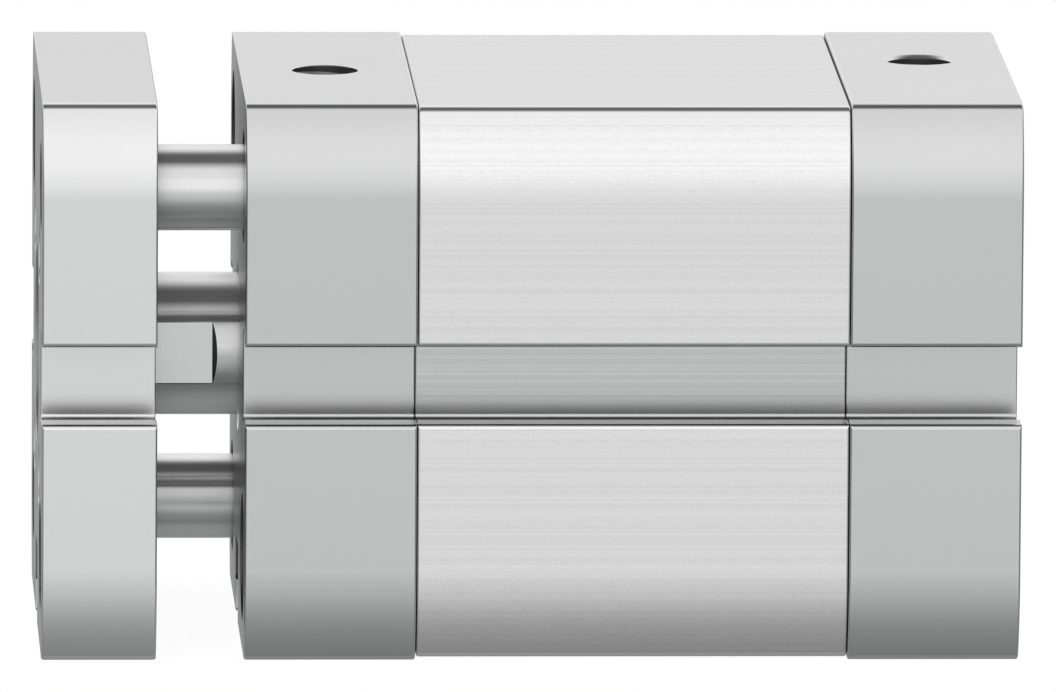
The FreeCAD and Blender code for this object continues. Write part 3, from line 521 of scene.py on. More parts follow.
def worked(name, colour, metallic, finish, graze=1.0):
    """A material with a worked surface: tone, roughness and relief follow its lines and grain. Graze is how
    much of its shine is left where it is seen edge on."""
    material, tree, shader = new_material(name)
    surface = tree.nodes.new("ShaderNodeGroup")
    surface.node_tree = WORKED_SURFACE
    surface.inputs["Drawn Out"].default_value = finish.drawn_out
    marks = surface.outputs
    tone = math_node(
        tree,
        "MULTIPLY",
        ranged(tree, marks["Lines"], 1.0 - finish.lines, 1.0 + finish.lines),
        ranged(tree, marks["Grain"], 1.0 - finish.grain, 1.0 + finish.grain),
    )
    if finish.deep:
        darkening = ranged(tree, marks["Deep Lines"], 1.0, 1.0 - finish.deep, 0.0, 1.0)
        tone = math_node(tree, "MULTIPLY", tone, darkening)
    tint = tree.nodes.new("ShaderNodeVectorMath")
    tint.operation = "SCALE"
    tint.inputs[0].default_value = colour
    tree.links.new(tone, tint.inputs["Scale"])
    tree.links.new(tint.outputs[0], shader.inputs["Base Color"])
    low, high = finish.roughness
    tree.links.new(ranged(tree, marks["Mottle"], low, high), shader.inputs["Roughness"])
    relief = tree.nodes.new("ShaderNodeBump")
    relief.inputs["Strength"].default_value = finish.bump
    relief.inputs["Distance"].default_value = RELIEF_DEPTH
    tree.links.new(marks["Lines"], relief.inputs["Height"])
    tree.links.new(relief.outputs["Normal"], shader.inputs["Normal"])
    shader.inputs["Metallic"].default_value = metallic
    shader.inputs["Specular Tint"].default_value = (graze, graze, graze, 1.0)
    if finish.drawn_shine:
        shader.inputs["Anisotropic"].default_value = finish.drawn_shine
        round_axis = tree.nodes.new("ShaderNodeTangent")
        round_axis.axis = "X"
        tree.links.new(round_axis.outputs["Tangent"], shader.inputs["Tangent"])
        shader.inputs["Anisotropic Rotation"].default_value = QUARTER_TURN
    return material


RELIEF_DEPTH = 0.02 * MM
QUARTER_TURN = 0.25
ALONG_AXIS = (0.0004, 1.0, 1.0)
ROUND_AXIS = (1.0, 0.02, 0.02)

SATIN = Finish((0.28, 0.31), lines=0.004, grain=0.004, bump=0.005)
BROKEN_EDGE = Finish((0.10, 0.14), lines=0.004, grain=0.004, bump=0.02)
EXTRUDED = Finish((0.28, 0.31), ALONG_AXIS, lines=0.045, deep=0.06, grain=0.03, bump=0.02)
STREAKED = Finish((0.28, 0.31), ALONG_AXIS, lines=0.095, deep=0.06, grain=0.02, bump=0.02)
TAPPED = Finish((0.30, 0.40), lines=0.03, grain=0.03, bump=0.03)
GROUND = Finish((0.21, 0.225), ROUND_AXIS, lines=0.01, grain=0.005, bump=0.02, drawn_shine=0.92)
MILLED = Finish((0.14, 0.16), lines=0.006, grain=0.005, bump=0.01)
PLATED = Finish((0.28, 0.36), lines=0.03, grain=0.03, bump=0.05)
TURNED = Finish((0.28, 0.38), ROUND_AXIS, lines=0.05, grain=0.02, bump=0.06)
SINTERED = Finish((0.38, 0.52), lines=0.08, grain=0.12, bump=0.10)
MOULDED = Finish((0.45, 0.60), lines=0.08, grain=0.08, bump=0.06)

CAP_TONE = (0.735, 0.74, 0.737)
YOKE_TONE = (0.90, 0.90, 0.90)
BARREL_TONE = (0.953, 0.941, 0.946)
CAP_ALUMINIUM = worked("cap_aluminium", CAP_TONE, 1.0, SATIN, 0.89)
CAP_EDGES = worked("cap_edges", CAP_TONE, 1.0, BROKEN_EDGE, 0.89)
YOKE_ALUMINIUM = worked("yoke_aluminium", YOKE_TONE, 1.0, SATIN, 0.73)
YOKE_EDGES = worked("yoke_edges", YOKE_TONE, 1.0, BROKEN_EDGE, 0.73)
BARREL_ALUMINIUM = worked("barrel_aluminium", BARREL_TONE, 1.0, EXTRUDED, 0.75)
BARREL_EDGES = worked("barrel_edges", BARREL_TONE, 1.0, BROKEN_EDGE, 0.75)
# The barrel's groove walls carry real streaks and a darker tone than the barrel, which is painted shade.
STREAKED_GROOVE_PAINTED_SHADE = worked("streaked_groove_painted_shade", (0.715, 0.722, 0.718), 1.0, STREAKED, 0.75)
# A nearly black metal for corner holes, groove walls in shade and the yoke plate's threads: painted shade.
PAINTED_HOLLOW_SHADE = worked("painted_hollow_shade", (0.14, 0.14, 0.14), 1.0, EXTRUDED)
# The ports' tapped walls and their threads are dark: painted shade in the ports.
PAINTED_PORT_SHADE = worked("painted_port_shade", (0.15, 0.15, 0.148), 1.0, TAPPED)
PAINTED_THREAD_SHADE = worked("painted_thread_shade", (0.26, 0.26, 0.255), 1.0, TAPPED)
# The yoke plate's centre bore is darker than the plate, so that its wall doesn't shine: painted shade.
PAINTED_BORE_SHADE = worked("painted_bore_shade", (0.5, 0.5, 0.5), 1.0, TURNED)
# The yoke plate's inner face is dark and dull edge on: painted shade, which the rods mirror near the plate.
PAINTED_FACE_SHADE = worked("painted_face_shade", (0.3, 0.3, 0.3), 1.0, SATIN, 0.3)
HARD_CHROME = worked("hard_chrome", (0.84, 0.84, 0.84), 1.0, GROUND, 0.85)
MILLED_FLAT = worked("milled_flat", (0.79, 0.79, 0.79), 1.0, MILLED, 0.85)
PLATED_STEEL = worked("plated_steel", (0.60, 0.60, 0.59), 1.0, PLATED)
PISTON_ALUMINIUM = worked("piston_aluminium", (0.68, 0.68, 0.68), 1.0, TURNED)
BEARING_BRONZE = worked("bearing_bronze", (0.42, 0.29, 0.15), 1.0, SINTERED)
SEAL_RUBBER = worked("seal_rubber", (0.018, 0.018, 0.019), 0.0, MOULDED)
MAGNET_COMPOUND = worked("magnet_compound", (0.07, 0.07, 0.075), 0.0, SINTERED)
GUIDE_PLASTIC = worked("guide_plastic", (0.12, 0.11, 0.10), 0.0, MOULDED)

# Pieces of the moving body

YOKE_THICKNESS = YOKE_INNER - YOKE_FACE
CENTRING_RADIUS = 7.0 * MM
CENTRING_DEPTH = 1.5 * MM
CENTRE_HEAD_RADIUS = 5.0 * MM
CENTRE_HEAD_HEIGHT = 4.0 * MM
CENTRE_SHANK = 3.0 * MM
CENTRE_SCREW_LENGTH = 12.0 * MM
GUIDE_HEAD_RADIUS = 2.75 * MM
GUIDE_HEAD_HEIGHT = 2.0 * MM
GUIDE_SHANK = 1.5 * MM
GUIDE_SCREW_LENGTH = 10.0 * MM
HEAD_RECESS = 0.4 * MM
HEAD_ROOM = 0.5 * MM
SCREW_ROOM = 0.05 * MM
FIT_ROOM = 0.02 * MM
ACCESS_RADIUS = 4.0 * MM
THREAD_CIRCLE = 11.0 * MM
GUIDE_RADIUS = 3.0 * MM
GUIDE_SEAT = 2.0 * MM
ROD_RADIUS = 5.0 * MM

# Threads: M5 in the ports, the yoke plate and the collar screws' heads.
TAP_RADIUS = 2.1 * MM
THREAD_WALL = 2.45 * MM
THREAD_PITCH = 0.8 * MM
FIRST_TURN = 0.65
TURN_STEPS = 48
RUNOUT_STEPS = TURN_STEPS / 4
RIDGE_FOOT = 0.46
RIDGE_CREST = 0.07
PORT_ZONE = 4.0 * MM
PORT_LEAD_IN = math.radians(200)

# Collar screws
COLLAR_HEAD = 4.3 * MM
COLLAR_HEAD_LENGTH = 8.0 * MM
COLLAR_BORE = 4.5 * MM
COLLAR_RECESS = 0.5 * MM
COLLAR_SHANK = 2.5 * MM
COLLAR_REACH = 8.0 * MM
COLLAR_SOCKET = 5.0 * MM
COLLAR_SOCKET_DEPTH = 2.2 * MM
COLLAR_THREAD_DEPTH = 7.3 * MM
COLLAR_TURN = math.radians(20)


def helical_ridge(name, centre, start, end, wall, upright=False, lead_in=0.0):
    """The ridge of a thread in a hole, swept along its helix from one end to the other; lead-in is the angle
    of its start."""
    sense = 1 if end > start else -1
    turns = abs(end - start) / THREAD_PITCH - 2 * FIRST_TURN
    steps = int(turns * TURN_STEPS)
    profile = [(-RIDGE_FOOT, False), (-RIDGE_CREST, True), (RIDGE_CREST, True), (RIDGE_FOOT, False)]
    parts = bmesh.new()
    rings = []
    for index in range(steps + 1):
        angle = lead_in + sense * 2 * math.pi * index / TURN_STEPS
        place = start + sense * THREAD_PITCH * (FIRST_TURN + index / TURN_STEPS)
        share = min(1.0, (index + 1) / RUNOUT_STEPS, (steps - index + 1) / RUNOUT_STEPS)
        crest = wall - (wall - TAP_RADIUS) * share
        root = wall + FIT_ROOM
        ring = []
        for offset, on_crest in profile:
            radius = crest if on_crest else root
            along = place + offset * THREAD_PITCH
            across, up = radius * math.cos(angle), radius * math.sin(angle)
            if upright:
                ring.append(parts.verts.new((centre[0] + across, centre[1] + up, along)))
            else:
                ring.append(parts.verts.new((along, centre[0] + across, centre[1] + up)))
        rings.append(ring)
    count = len(profile)
    for here, there in zip(rings, rings[1:]):
        for corner in range(count):
            after = (corner + 1) % count
            parts.faces.new((here[corner], here[after], there[after], there[corner]))
    parts.faces.new(rings[0])
    parts.faces.new(rings[-1])
    piece = new_piece(name, parts)
    for face in piece.data.polygons:
        face.use_smooth = False
    return piece


def bore(name, steps, centre=(0.0, 0.0), upright=False):
    """A cutter for a stepped round hole."""
    return turned(name, steps, centre, upright)


def make_yoke_plate():
    piece = prism("yoke_plate_finished", CAP_SECTION.outline(0.0), YOKE_FACE, YOKE_INNER)
    before, behind = YOKE_FACE - OVERREACH, YOKE_INNER + OVERREACH
    floor = YOKE_FACE + CENTRING_DEPTH
    seat = floor + CENTRE_HEAD_HEIGHT
    head_bore = CENTRE_HEAD_RADIUS + HEAD_ROOM
    shank_bore = CENTRE_SHANK + SCREW_ROOM
    centre_steps = [
        (before, CENTRING_RADIUS),
        (floor, CENTRING_RADIUS),
        (floor, head_bore),
        (seat, head_bore),
        (seat, shank_bore),
        (behind, shank_bore),
    ]
    cutters = [bore("centre_bore", centre_steps)]
    guide_seat = YOKE_FACE + HEAD_RECESS + GUIDE_HEAD_HEIGHT
    guide_steps = [
        (before, GUIDE_HEAD_RADIUS + HEAD_ROOM),
        (guide_seat, GUIDE_HEAD_RADIUS + HEAD_ROOM),
        (guide_seat, GUIDE_SHANK + SCREW_ROOM),
        (YOKE_INNER - GUIDE_SEAT, GUIDE_SHANK + SCREW_ROOM),
        (YOKE_INNER - GUIDE_SEAT, GUIDE_RADIUS + FIT_ROOM),
        (behind, GUIDE_RADIUS + FIT_ROOM),
    ]
    for side, corner in GUIDE_CORNERS.items():
        cutters.append(bore(f"guide_hole_{side}", guide_steps, corner))
    for number, corner in enumerate(SCREW_CORNERS):
        steps = [(before, ACCESS_RADIUS), (behind, ACCESS_RADIUS)]
        cutters.append(bore(f"access_hole_{number}", steps, corner))
    for number in range(4):
        angle = math.pi / 4 + number * math.pi / 2
        centre = (THREAD_CIRCLE * math.cos(angle), THREAD_CIRCLE * math.sin(angle))
        steps = [(before, THREAD_WALL), (behind, THREAD_WALL)]
        cutters.append(bore(f"yoke_thread_hole_{number}", steps, centre))
        thread = helical_ridge(f"yoke_thread_{number + 1}", centre, YOKE_FACE, YOKE_INNER, THREAD_WALL)
        # The yoke plate's threads take the dark metal of painted shade.
        wear(thread, PAINTED_HOLLOW_SHADE)
        place_piece(thread, "yoke", "anodised_aluminium")
    cut(piece, cutters)
    # The yoke plate's hollows, centre bore and inner face take darker metals: painted shade.
    wear(piece, YOKE_ALUMINIUM, YOKE_EDGES, PAINTED_HOLLOW_SHADE, PAINTED_BORE_SHADE, PAINTED_FACE_SHADE)
    soften(piece, CAP_SECTION)
    finish_and_paint_shade(piece, CAP_SECTION)
    # The yoke plate's inner face takes a dark metal: painted shade.
    paint_shade_on_end(piece, YOKE_INNER, PAINTED_SHADE_END)
    # The centre bore's wall takes a darker metal: painted shade.
    for face in piece.data.polygons:
        if face.center.yz.length < CENTRING_RADIUS + NEAR and abs(face.normal.x) < PARTLY:
            face.material_index = PAINTED_SHADE_WALLS
    place_piece(piece, "yoke", "anodised_aluminium", "yoke_plate")


FLAT_HALF = 4.5 * MM
FLAT_LENGTH = 4.2 * MM
FLAT_RAMP = 0.31 * MM
FLAT_EDGE_ANGLE = math.radians(12)
ROD_CHAMFER = 0.4 * MM
THREAD_SPARE = 2.0 * MM
REAR_THREAD_DEPTH = 12.0 * MM
GUIDE_THREAD_LOSS = 1.0 * MM


def make_piston_rod():
    start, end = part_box("piston_rod")[0].x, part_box("piston_rod")[1].x
    steps = [(start, ROD_RADIUS), (end - ROD_CHAMFER, ROD_RADIUS), (end, ROD_RADIUS - ROD_CHAMFER)]
    piece = turned("piston_rod_finished", steps, ring_steps=2 * RING_STEPS)
    ramp_share = (2 * ROD_RADIUS - FLAT_HALF) / (ROD_RADIUS - FLAT_HALF)
    ramp_end = start + FLAT_LENGTH + FLAT_RAMP * ramp_share
    cutters = []
    for side in (1, -1):
        parts = bmesh.new()
        outline = [
            (start - OVERREACH, side * FLAT_HALF),
            (start + FLAT_LENGTH, side * FLAT_HALF),
            (ramp_end, side * 2 * ROD_RADIUS),
            (start - OVERREACH, side * 2 * ROD_RADIUS),
        ]
        heights = (-2 * ROD_RADIUS, 2 * ROD_RADIUS)
        levels = [[parts.verts.new((x, y, z)) for x, y in outline] for z in heights]
        for index in range(4):
            after = (index + 1) % 4
            parts.faces.new((levels[0][index], levels[0][after], levels[1][after], levels[1][index]))
        for level in levels:
            parts.faces.new(level)
        cutters.append(new_piece(f"wrench_flat_{side}", parts))
    in_yoke = YOKE_THICKNESS - CENTRING_DEPTH - CENTRE_HEAD_HEIGHT
    front_depth = CENTRE_SCREW_LENGTH - in_yoke + THREAD_SPARE
    hole = CENTRE_SHANK + SCREW_ROOM
    cutters.append(bore("front_thread_hole", [(start - OVERREACH, hole), (start + front_depth, hole)]))
    cutters.append(bore("rear_thread_hole", [(end - REAR_THREAD_DEPTH, hole), (end + OVERREACH, hole)]))
    cut(piece, cutters)
    wear(piece, HARD_CHROME, MILLED_FLAT)
    soften(piece, sharp=FLAT_EDGE_ANGLE)
    for face in piece.data.polygons:
        if abs(abs(face.center.y) - FLAT_HALF) < NEAR and abs(face.normal.y) > SQUARELY:
            face.material_index = EDGES
    place_piece(piece, "yoke", "chromed_steel", "piston_rod")


def make_guide_rods():
    for side, corner in GUIDE_CORNERS.items():
        node = f"guide_rod_{side}"
        start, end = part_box(node)[0].x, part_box(node)[1].x
        tip = end - ROD_CHAMFER
        steps = [(start, GUIDE_RADIUS), (tip, GUIDE_RADIUS), (end, GUIDE_RADIUS - ROD_CHAMFER)]
        piece = turned(f"{node}_finished", steps, corner, ring_steps=2 * RING_STEPS)
        hole = GUIDE_SHANK + SCREW_ROOM
        depth = GUIDE_SCREW_LENGTH - GUIDE_THREAD_LOSS
        cut(piece, [bore("thread_hole", [(start - OVERREACH, hole), (start + depth, hole)], corner)])
        wear(piece, HARD_CHROME)
        soften(piece)
        place_piece(piece, "yoke", "chromed_steel", node)


def socket_screw(name, face, centre, head, head_height, shank, length, socket_width, socket_depth, turn):
    """A low-head screw with a hex socket, its head towards -X."""
    seat = face + head_height
    end = seat + length
    tip = end - ROD_CHAMFER
    steps = [(face, head), (seat, head), (seat, shank), (tip, shank), (end, shank - ROD_CHAMFER)]
    piece = turned(name, steps, centre)
    cut(piece, [hexagon("hex_socket", socket_width, face - OVERREACH, face + socket_depth, centre, turn)])
    wear(piece, PLATED_STEEL)
    soften(piece)
    return piece


CENTRE_SOCKET = 4.0 * MM
CENTRE_SOCKET_DEPTH = 2.2 * MM
CENTRE_TURN = math.radians(8)
GUIDE_SOCKET = 2.0 * MM
GUIDE_SOCKET_DEPTH = 1.1 * MM
GUIDE_TURNS = {"upper": math.radians(14), "lower": math.radians(41)}


def make_yoke_screws():
    centre_screw = socket_screw(
        "yoke_centre_screw_finished",
        YOKE_FACE + CENTRING_DEPTH,
        (0.0, 0.0),
        CENTRE_HEAD_RADIUS,
        CENTRE_HEAD_HEIGHT,
        CENTRE_SHANK,
        CENTRE_SCREW_LENGTH,
        socket_width=CENTRE_SOCKET,
        socket_depth=CENTRE_SOCKET_DEPTH,
        turn=CENTRE_TURN,
    )
    place_piece(centre_screw, "yoke", "plated_steel", "yoke_centre_screw")
    for side, corner in GUIDE_CORNERS.items():
        screw = socket_screw(
            f"guide_rod_screw_{side}",
            YOKE_FACE + HEAD_RECESS,
            corner,
            GUIDE_HEAD_RADIUS,
            GUIDE_HEAD_HEIGHT,
            GUIDE_SHANK,
            GUIDE_SCREW_LENGTH,
            socket_width=GUIDE_SOCKET,
            socket_depth=GUIDE_SOCKET_DEPTH,
            turn=GUIDE_TURNS[side],
        )
        place_piece(screw, "yoke", "plated_steel", "guide_rod_screws")


# Pieces of the fixed body

SEAL_MOUTH = 6.1 * MM
SEAL_MOUTH_DEPTH = 1.0 * MM
SEAL_GROOVE = 7.2 * MM
SEAL_GROOVE_END = 4.5 * MM
ROD_PASSAGE = 5.2 * MM
ROD_BUSH_START = 5.5 * MM
ROD_BUSH_SEAT = 6.05 * MM
GUIDE_BUSH_SEAT = 4.05 * MM
GUIDE_BUSH_END = 11.0 * MM
GUIDE_PASSAGE = 3.3 * MM
GUIDE_END_ROOM = 1.5 * MM
CAP_LENGTH = BARREL_FRONT - CAP_FACE
SPIGOT_RADIUS = 12.48 * MM
SPIGOT_LENGTH = 2.0 * MM
BORE_RADIUS = 12.5 * MM
CYLINDER_BODY = "cylinder"
CHAMFER_SLOPE = 0.65


class Port:
    """A tapped supply port in the top of a cap."""

    def __init__(self, name, x, y, mouth, wall):
        self.name = name
        self.centre = (x, y)
        self.mouth = mouth
        self.wall = wall
        self.chamfer_foot = HALF_SECTION - (mouth - wall) * CHAMFER_SLOPE


PORT_DEPTH = 7.0 * MM
PORT_DRILL = 1.5 * MM
PORT_DRILL_DEPTH = 12.0 * MM
BEARING_PORT = Port(
    "bearing_cap_port", (CAP_FACE + BARREL_FRONT) / 2, y=-1.5 * MM, mouth=2.375 * MM, wall=2.3 * MM
)
END_PORT = Port("end_cap_port", (BARREL_REAR + REAR_FACE) / 2, y=3.6 * MM, mouth=2.6 * MM, wall=2.25 * MM)


def port_cutter(port):
    top = HALF_SECTION
    steps = [
        (top - PORT_DRILL_DEPTH, PORT_DRILL),
        (top - PORT_DEPTH, PORT_DRILL),
        (top - PORT_DEPTH, port.wall),
        (port.chamfer_foot, port.wall),
        (top, port.mouth),
        (top + OVERREACH, port.mouth),
    ]
    return bore(port.name, steps, port.centre, upright=True)


def make_port_thread(port):
    foot = HALF_SECTION - PORT_DEPTH
    thread = helical_ridge(
        f"{port.name}_thread", port.centre, port.chamfer_foot, foot, port.wall,
        upright=True, lead_in=PORT_LEAD_IN,
    )
    # The port's thread is dark: painted shade.
    wear(thread, PAINTED_THREAD_SHADE)
    place_piece(thread, CYLINDER_BODY, "anodised_aluminium")


def finish_port_and_paint_shade(piece, port):
    """The chamfer of a port takes the finish of the edges, and the tapped wall and foot a dark metal that is
    painted shade.
    """
    drill_foot = HALF_SECTION - PORT_DRILL_DEPTH
    for face in piece.data.polygons:
        from_axis = (face.center.xy - Vector(port.centre)).length
        if from_axis > port.mouth or not drill_foot < face.center.z < HALF_SECTION - NEAR:
            continue
        face.material_index = EDGES if face.center.z > port.chamfer_foot else PAINTED_SHADE_WALLS


def collar_cutters(outer, inner, corners):
    """Stepped holes for collar screws, from the outer face of a cap to its inner face."""
    sense = 1 if inner > outer else -1
    seat = outer + sense * (COLLAR_RECESS + COLLAR_HEAD_LENGTH)
    steps = [
        (outer - sense * OVERREACH, COLLAR_BORE),
        (seat, COLLAR_BORE),
        (seat, COLLAR_SHANK + SCREW_ROOM),
        (inner + sense * OVERREACH, COLLAR_SHANK + SCREW_ROOM),
    ]
    return [bore(f"collar_hole_{number}", steps, corner) for number, corner in enumerate(corners)]


def add_spigot(piece, face, sense):
    """Joins the turned spigot that centres a cap in the bore."""
    steps = [(face - sense * OVERREACH, SPIGOT_RADIUS), (face + sense * SPIGOT_LENGTH, SPIGOT_RADIUS)]
    spigot = turned("spigot", steps)
    modifier = piece.modifiers.new("spigot", "BOOLEAN")
    modifier.operation = "UNION"
    modifier.solver = "EXACT"
    modifier.object = spigot
    settle_mesh(piece)
    bpy.data.objects.remove(spigot)


def make_bearing_cap():
    piece = prism("bearing_cap_finished", CAP_SECTION.outline(0.0), CAP_FACE, BARREL_FRONT - SEAM_GAP)
    add_spigot(piece, BARREL_FRONT, 1)
    before, behind = CAP_FACE - OVERREACH, BARREL_FRONT + SPIGOT_LENGTH + OVERREACH
    rod_steps = [
        (before, SEAL_MOUTH),
        (CAP_FACE + SEAL_MOUTH_DEPTH, SEAL_MOUTH),
        (CAP_FACE + SEAL_MOUTH_DEPTH, SEAL_GROOVE),
        (CAP_FACE + SEAL_GROOVE_END, SEAL_GROOVE),
        (CAP_FACE + SEAL_GROOVE_END, ROD_PASSAGE),
        (CAP_FACE + ROD_BUSH_START, ROD_PASSAGE),
        (CAP_FACE + ROD_BUSH_START, ROD_BUSH_SEAT),
        (behind, ROD_BUSH_SEAT),
    ]
    cutters = [bore("rod_bore", rod_steps), port_cutter(BEARING_PORT)]
    guide_steps = [
        (before, GUIDE_BUSH_SEAT),
        (CAP_FACE + GUIDE_BUSH_END, GUIDE_BUSH_SEAT),
        (CAP_FACE + GUIDE_BUSH_END, GUIDE_PASSAGE),
        (BARREL_FRONT + OVERREACH, GUIDE_PASSAGE),
    ]
    for side, corner in GUIDE_CORNERS.items():
        cutters.append(bore(f"guide_bore_{side}", guide_steps, corner))
    cutters += collar_cutters(CAP_FACE, BARREL_FRONT, SCREW_CORNERS)
    cut(piece, cutters)
    # Groove walls in shade, corner holes and the port take dark metals: painted shade.
    wear(piece, CAP_ALUMINIUM, CAP_EDGES, PAINTED_HOLLOW_SHADE, PAINTED_PORT_SHADE)
    soften(piece, CAP_SECTION, [BEARING_PORT.centre])
    finish_and_paint_shade(piece, CAP_SECTION)
    finish_port_and_paint_shade(piece, BEARING_PORT)
    place_piece(piece, CYLINDER_BODY, "anodised_aluminium", "bearing_cap")
    make_port_thread(BEARING_PORT)


def make_cylinder_barrel():
    outline = BARREL_SECTION.outline(HALF_SECTION - HALF_BARREL)
    piece = prism("cylinder_barrel_finished", outline, BARREL_FRONT, BARREL_REAR)
    before, behind = BARREL_FRONT - OVERREACH, BARREL_REAR + OVERREACH
    cutters = [bore("barrel_bore", [(before, BORE_RADIUS), (behind, BORE_RADIUS)])]
    core = COLLAR_SHANK + SCREW_ROOM
    guide_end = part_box("guide_rod_upper")[1].x + GUIDE_END_ROOM
    for number, corner in enumerate(ALL_CORNERS):
        cutters.append(bore(f"screw_core_{number}", [(before, core), (behind, core)], corner))
    for side, corner in GUIDE_CORNERS.items():
        steps = [(before, GUIDE_PASSAGE), (guide_end, GUIDE_PASSAGE)]
        cutters.append(bore(f"guide_core_{side}", steps, corner))
    cut(piece, cutters)
    wear(piece, BARREL_ALUMINIUM, BARREL_EDGES, PAINTED_HOLLOW_SHADE, STREAKED_GROOVE_PAINTED_SHADE)
    soften(piece, BARREL_SECTION)
    # The barrel's groove walls take a darker, streaked metal: painted shade in the groove.
    for face in piece.data.polygons:
        if BARREL_SECTION.in_groove(face.center) and abs(face.normal.x) < PARTLY:
            face.material_index = PAINTED_SHADE_WALLS
    finish_and_paint_shade(piece, BARREL_SECTION)
    place_piece(piece, CYLINDER_BODY, "extruded_aluminium", "cylinder_barrel")


REAR_CENTRING = 4.5 * MM
REAR_CENTRING_DEPTH = 2.1 * MM


def make_end_cap():
    piece = prism("end_cap_finished", CAP_SECTION.outline(0.0), BARREL_REAR + SEAM_GAP, REAR_FACE)
    add_spigot(piece, BARREL_REAR, -1)
    centring = [(REAR_FACE - REAR_CENTRING_DEPTH, REAR_CENTRING), (REAR_FACE + OVERREACH, REAR_CENTRING)]
    cutters = [bore("rear_centring", centring), port_cutter(END_PORT)]
    cutters += collar_cutters(REAR_FACE, BARREL_REAR, ALL_CORNERS)
    cut(piece, cutters)
    # Groove walls in shade, corner holes and the port take dark metals: painted shade.
    wear(piece, CAP_ALUMINIUM, CAP_EDGES, PAINTED_HOLLOW_SHADE, PAINTED_PORT_SHADE)
    soften(piece, CAP_SECTION, [END_PORT.centre])
    finish_and_paint_shade(piece, CAP_SECTION)
    finish_port_and_paint_shade(piece, END_PORT)
    place_piece(piece, CYLINDER_BODY, "anodised_aluminium", "end_cap")
    make_port_thread(END_PORT)


def make_collar_screw(name, node, face, sense, corner):
    """A collar screw: a tapped head with a hex socket, and the screw's own shank."""
    top = face + sense * COLLAR_RECESS
    seat = top + sense * COLLAR_HEAD_LENGTH
    tip = face + sense * (CAP_LENGTH + COLLAR_REACH)
    steps = [
        (top, COLLAR_HEAD),
        (seat, COLLAR_HEAD),
        (seat, COLLAR_SHANK),
        (tip - sense * ROD_CHAMFER, COLLAR_SHANK),
        (tip, COLLAR_SHANK - ROD_CHAMFER),
    ]
    piece = turned(name, steps, corner)
    outside = top - sense * OVERREACH
    socket_foot = top + sense * COLLAR_SOCKET_DEPTH
    thread_start = socket_foot - sense * OVERREACH
    thread_foot = top + sense * COLLAR_THREAD_DEPTH
    cutters = [
        hexagon("hex_socket", COLLAR_SOCKET, outside, socket_foot, corner, COLLAR_TURN),
        bore("head_thread", [(thread_start, THREAD_WALL), (thread_foot, THREAD_WALL)], corner),
    ]
    cut(piece, cutters)
    wear(piece, PLATED_STEEL)
    soften(piece)
    place_piece(piece, CYLINDER_BODY, "plated_steel", node)
    thread = helical_ridge(f"{name}_thread", corner, socket_foot, thread_foot, THREAD_WALL)
    wear(thread, PLATED_STEEL)
    place_piece(thread, CYLINDER_BODY, "plated_steel")


def make_collar_screws():
    for number, corner in enumerate(SCREW_CORNERS):
        make_collar_screw(f"front_collar_screw_{number + 1}", "front_collar_screws", CAP_FACE, 1, corner)
    for number, corner in enumerate(ALL_CORNERS):
        make_collar_screw(f"rear_collar_screw_{number + 1}", "rear_collar_screws", REAR_FACE, -1, corner)


RUNNING_ROOM = 0.03 * MM
BUSH_WALL = 1.0 * MM
BUSH_CHAMFER = 0.25 * MM
BUSH_ROUND = 0.04 * MM


def make_guide_bushes():
    for side, corner in GUIDE_CORNERS.items():
        node = f"guide_bush_{side}"
        start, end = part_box(node)[0].x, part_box(node)[1].x
        inner = GUIDE_RADIUS + RUNNING_ROOM
        outer = inner + BUSH_WALL
        section = [
            (start + BUSH_CHAMFER, inner),
            (start, inner + BUSH_CHAMFER),
            (start, outer),
            (end, outer),
            (end, inner + BUSH_CHAMFER),
            (end - BUSH_CHAMFER, inner),
        ]
        piece = ring_of_section(f"{node}_finished", section, corner)
        wear(piece, BEARING_BRONZE)
        soften(piece, hole_round=BUSH_ROUND)
        place_piece(piece, CYLINDER_BODY, "bearing_bronze", node)


WIPER_INSET = 0.3 * MM
WIPER_WALL = 0.7 * MM
WIPER_EDGE = 0.12 * MM


def make_rod_seal():
    """Rod seal and wiper in one ring; only the wiper's lip shows in the bearing cap's mouth."""
    lip = ROD_RADIUS + RUNNING_ROOM
    mouth = SEAL_MOUTH - FIT_ROOM
    groove = SEAL_GROOVE - FIT_ROOM
    start = CAP_FACE + WIPER_INSET
    shoulder = CAP_FACE + SEAL_MOUTH_DEPTH + FIT_ROOM
    end = CAP_FACE + SEAL_GROOVE_END - FIT_ROOM
    section = [
        (start, lip),
        (start, lip + WIPER_EDGE),
        (start + WIPER_WALL, mouth),
        (shoulder, mouth),
        (shoulder, groove),
        (end, groove),
        (end, lip),
        (start + WIPER_WALL, ROD_PASSAGE),
    ]
    piece = ring_of_section("rod_seal_finished", section)
    wear(piece, SEAL_RUBBER)
    soften(piece)
    place_piece(piece, CYLINDER_BODY, "seal_rubber", "rod_seal")


INNER_FINISHES = {
    "piston": PISTON_ALUMINIUM,
    "piston_screw": PLATED_STEEL,
    "piston_ring_seal": SEAL_RUBBER,
    "piston_magnet": MAGNET_COMPOUND,
    "piston_guide_ring": GUIDE_PLASTIC,
    "front_piston_seal": SEAL_RUBBER,
    "rear_piston_seal": SEAL_RUBBER,
    "front_bumper": SEAL_RUBBER,
    "rear_bumper": SEAL_RUBBER,
    "rod_bush": BEARING_BRONZE,
    "bearing_cap_ring_seal": SEAL_RUBBER,
    "end_cap_ring_seal": SEAL_RUBBER,
}


def finish_inner_nodes():
    """Materials of the closed-in pieces that stay as they are in the frame."""
    for node, material in INNER_FINISHES.items():
        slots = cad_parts[node].data.materials
        slots.clear()
        slots.append(material)


# Studio

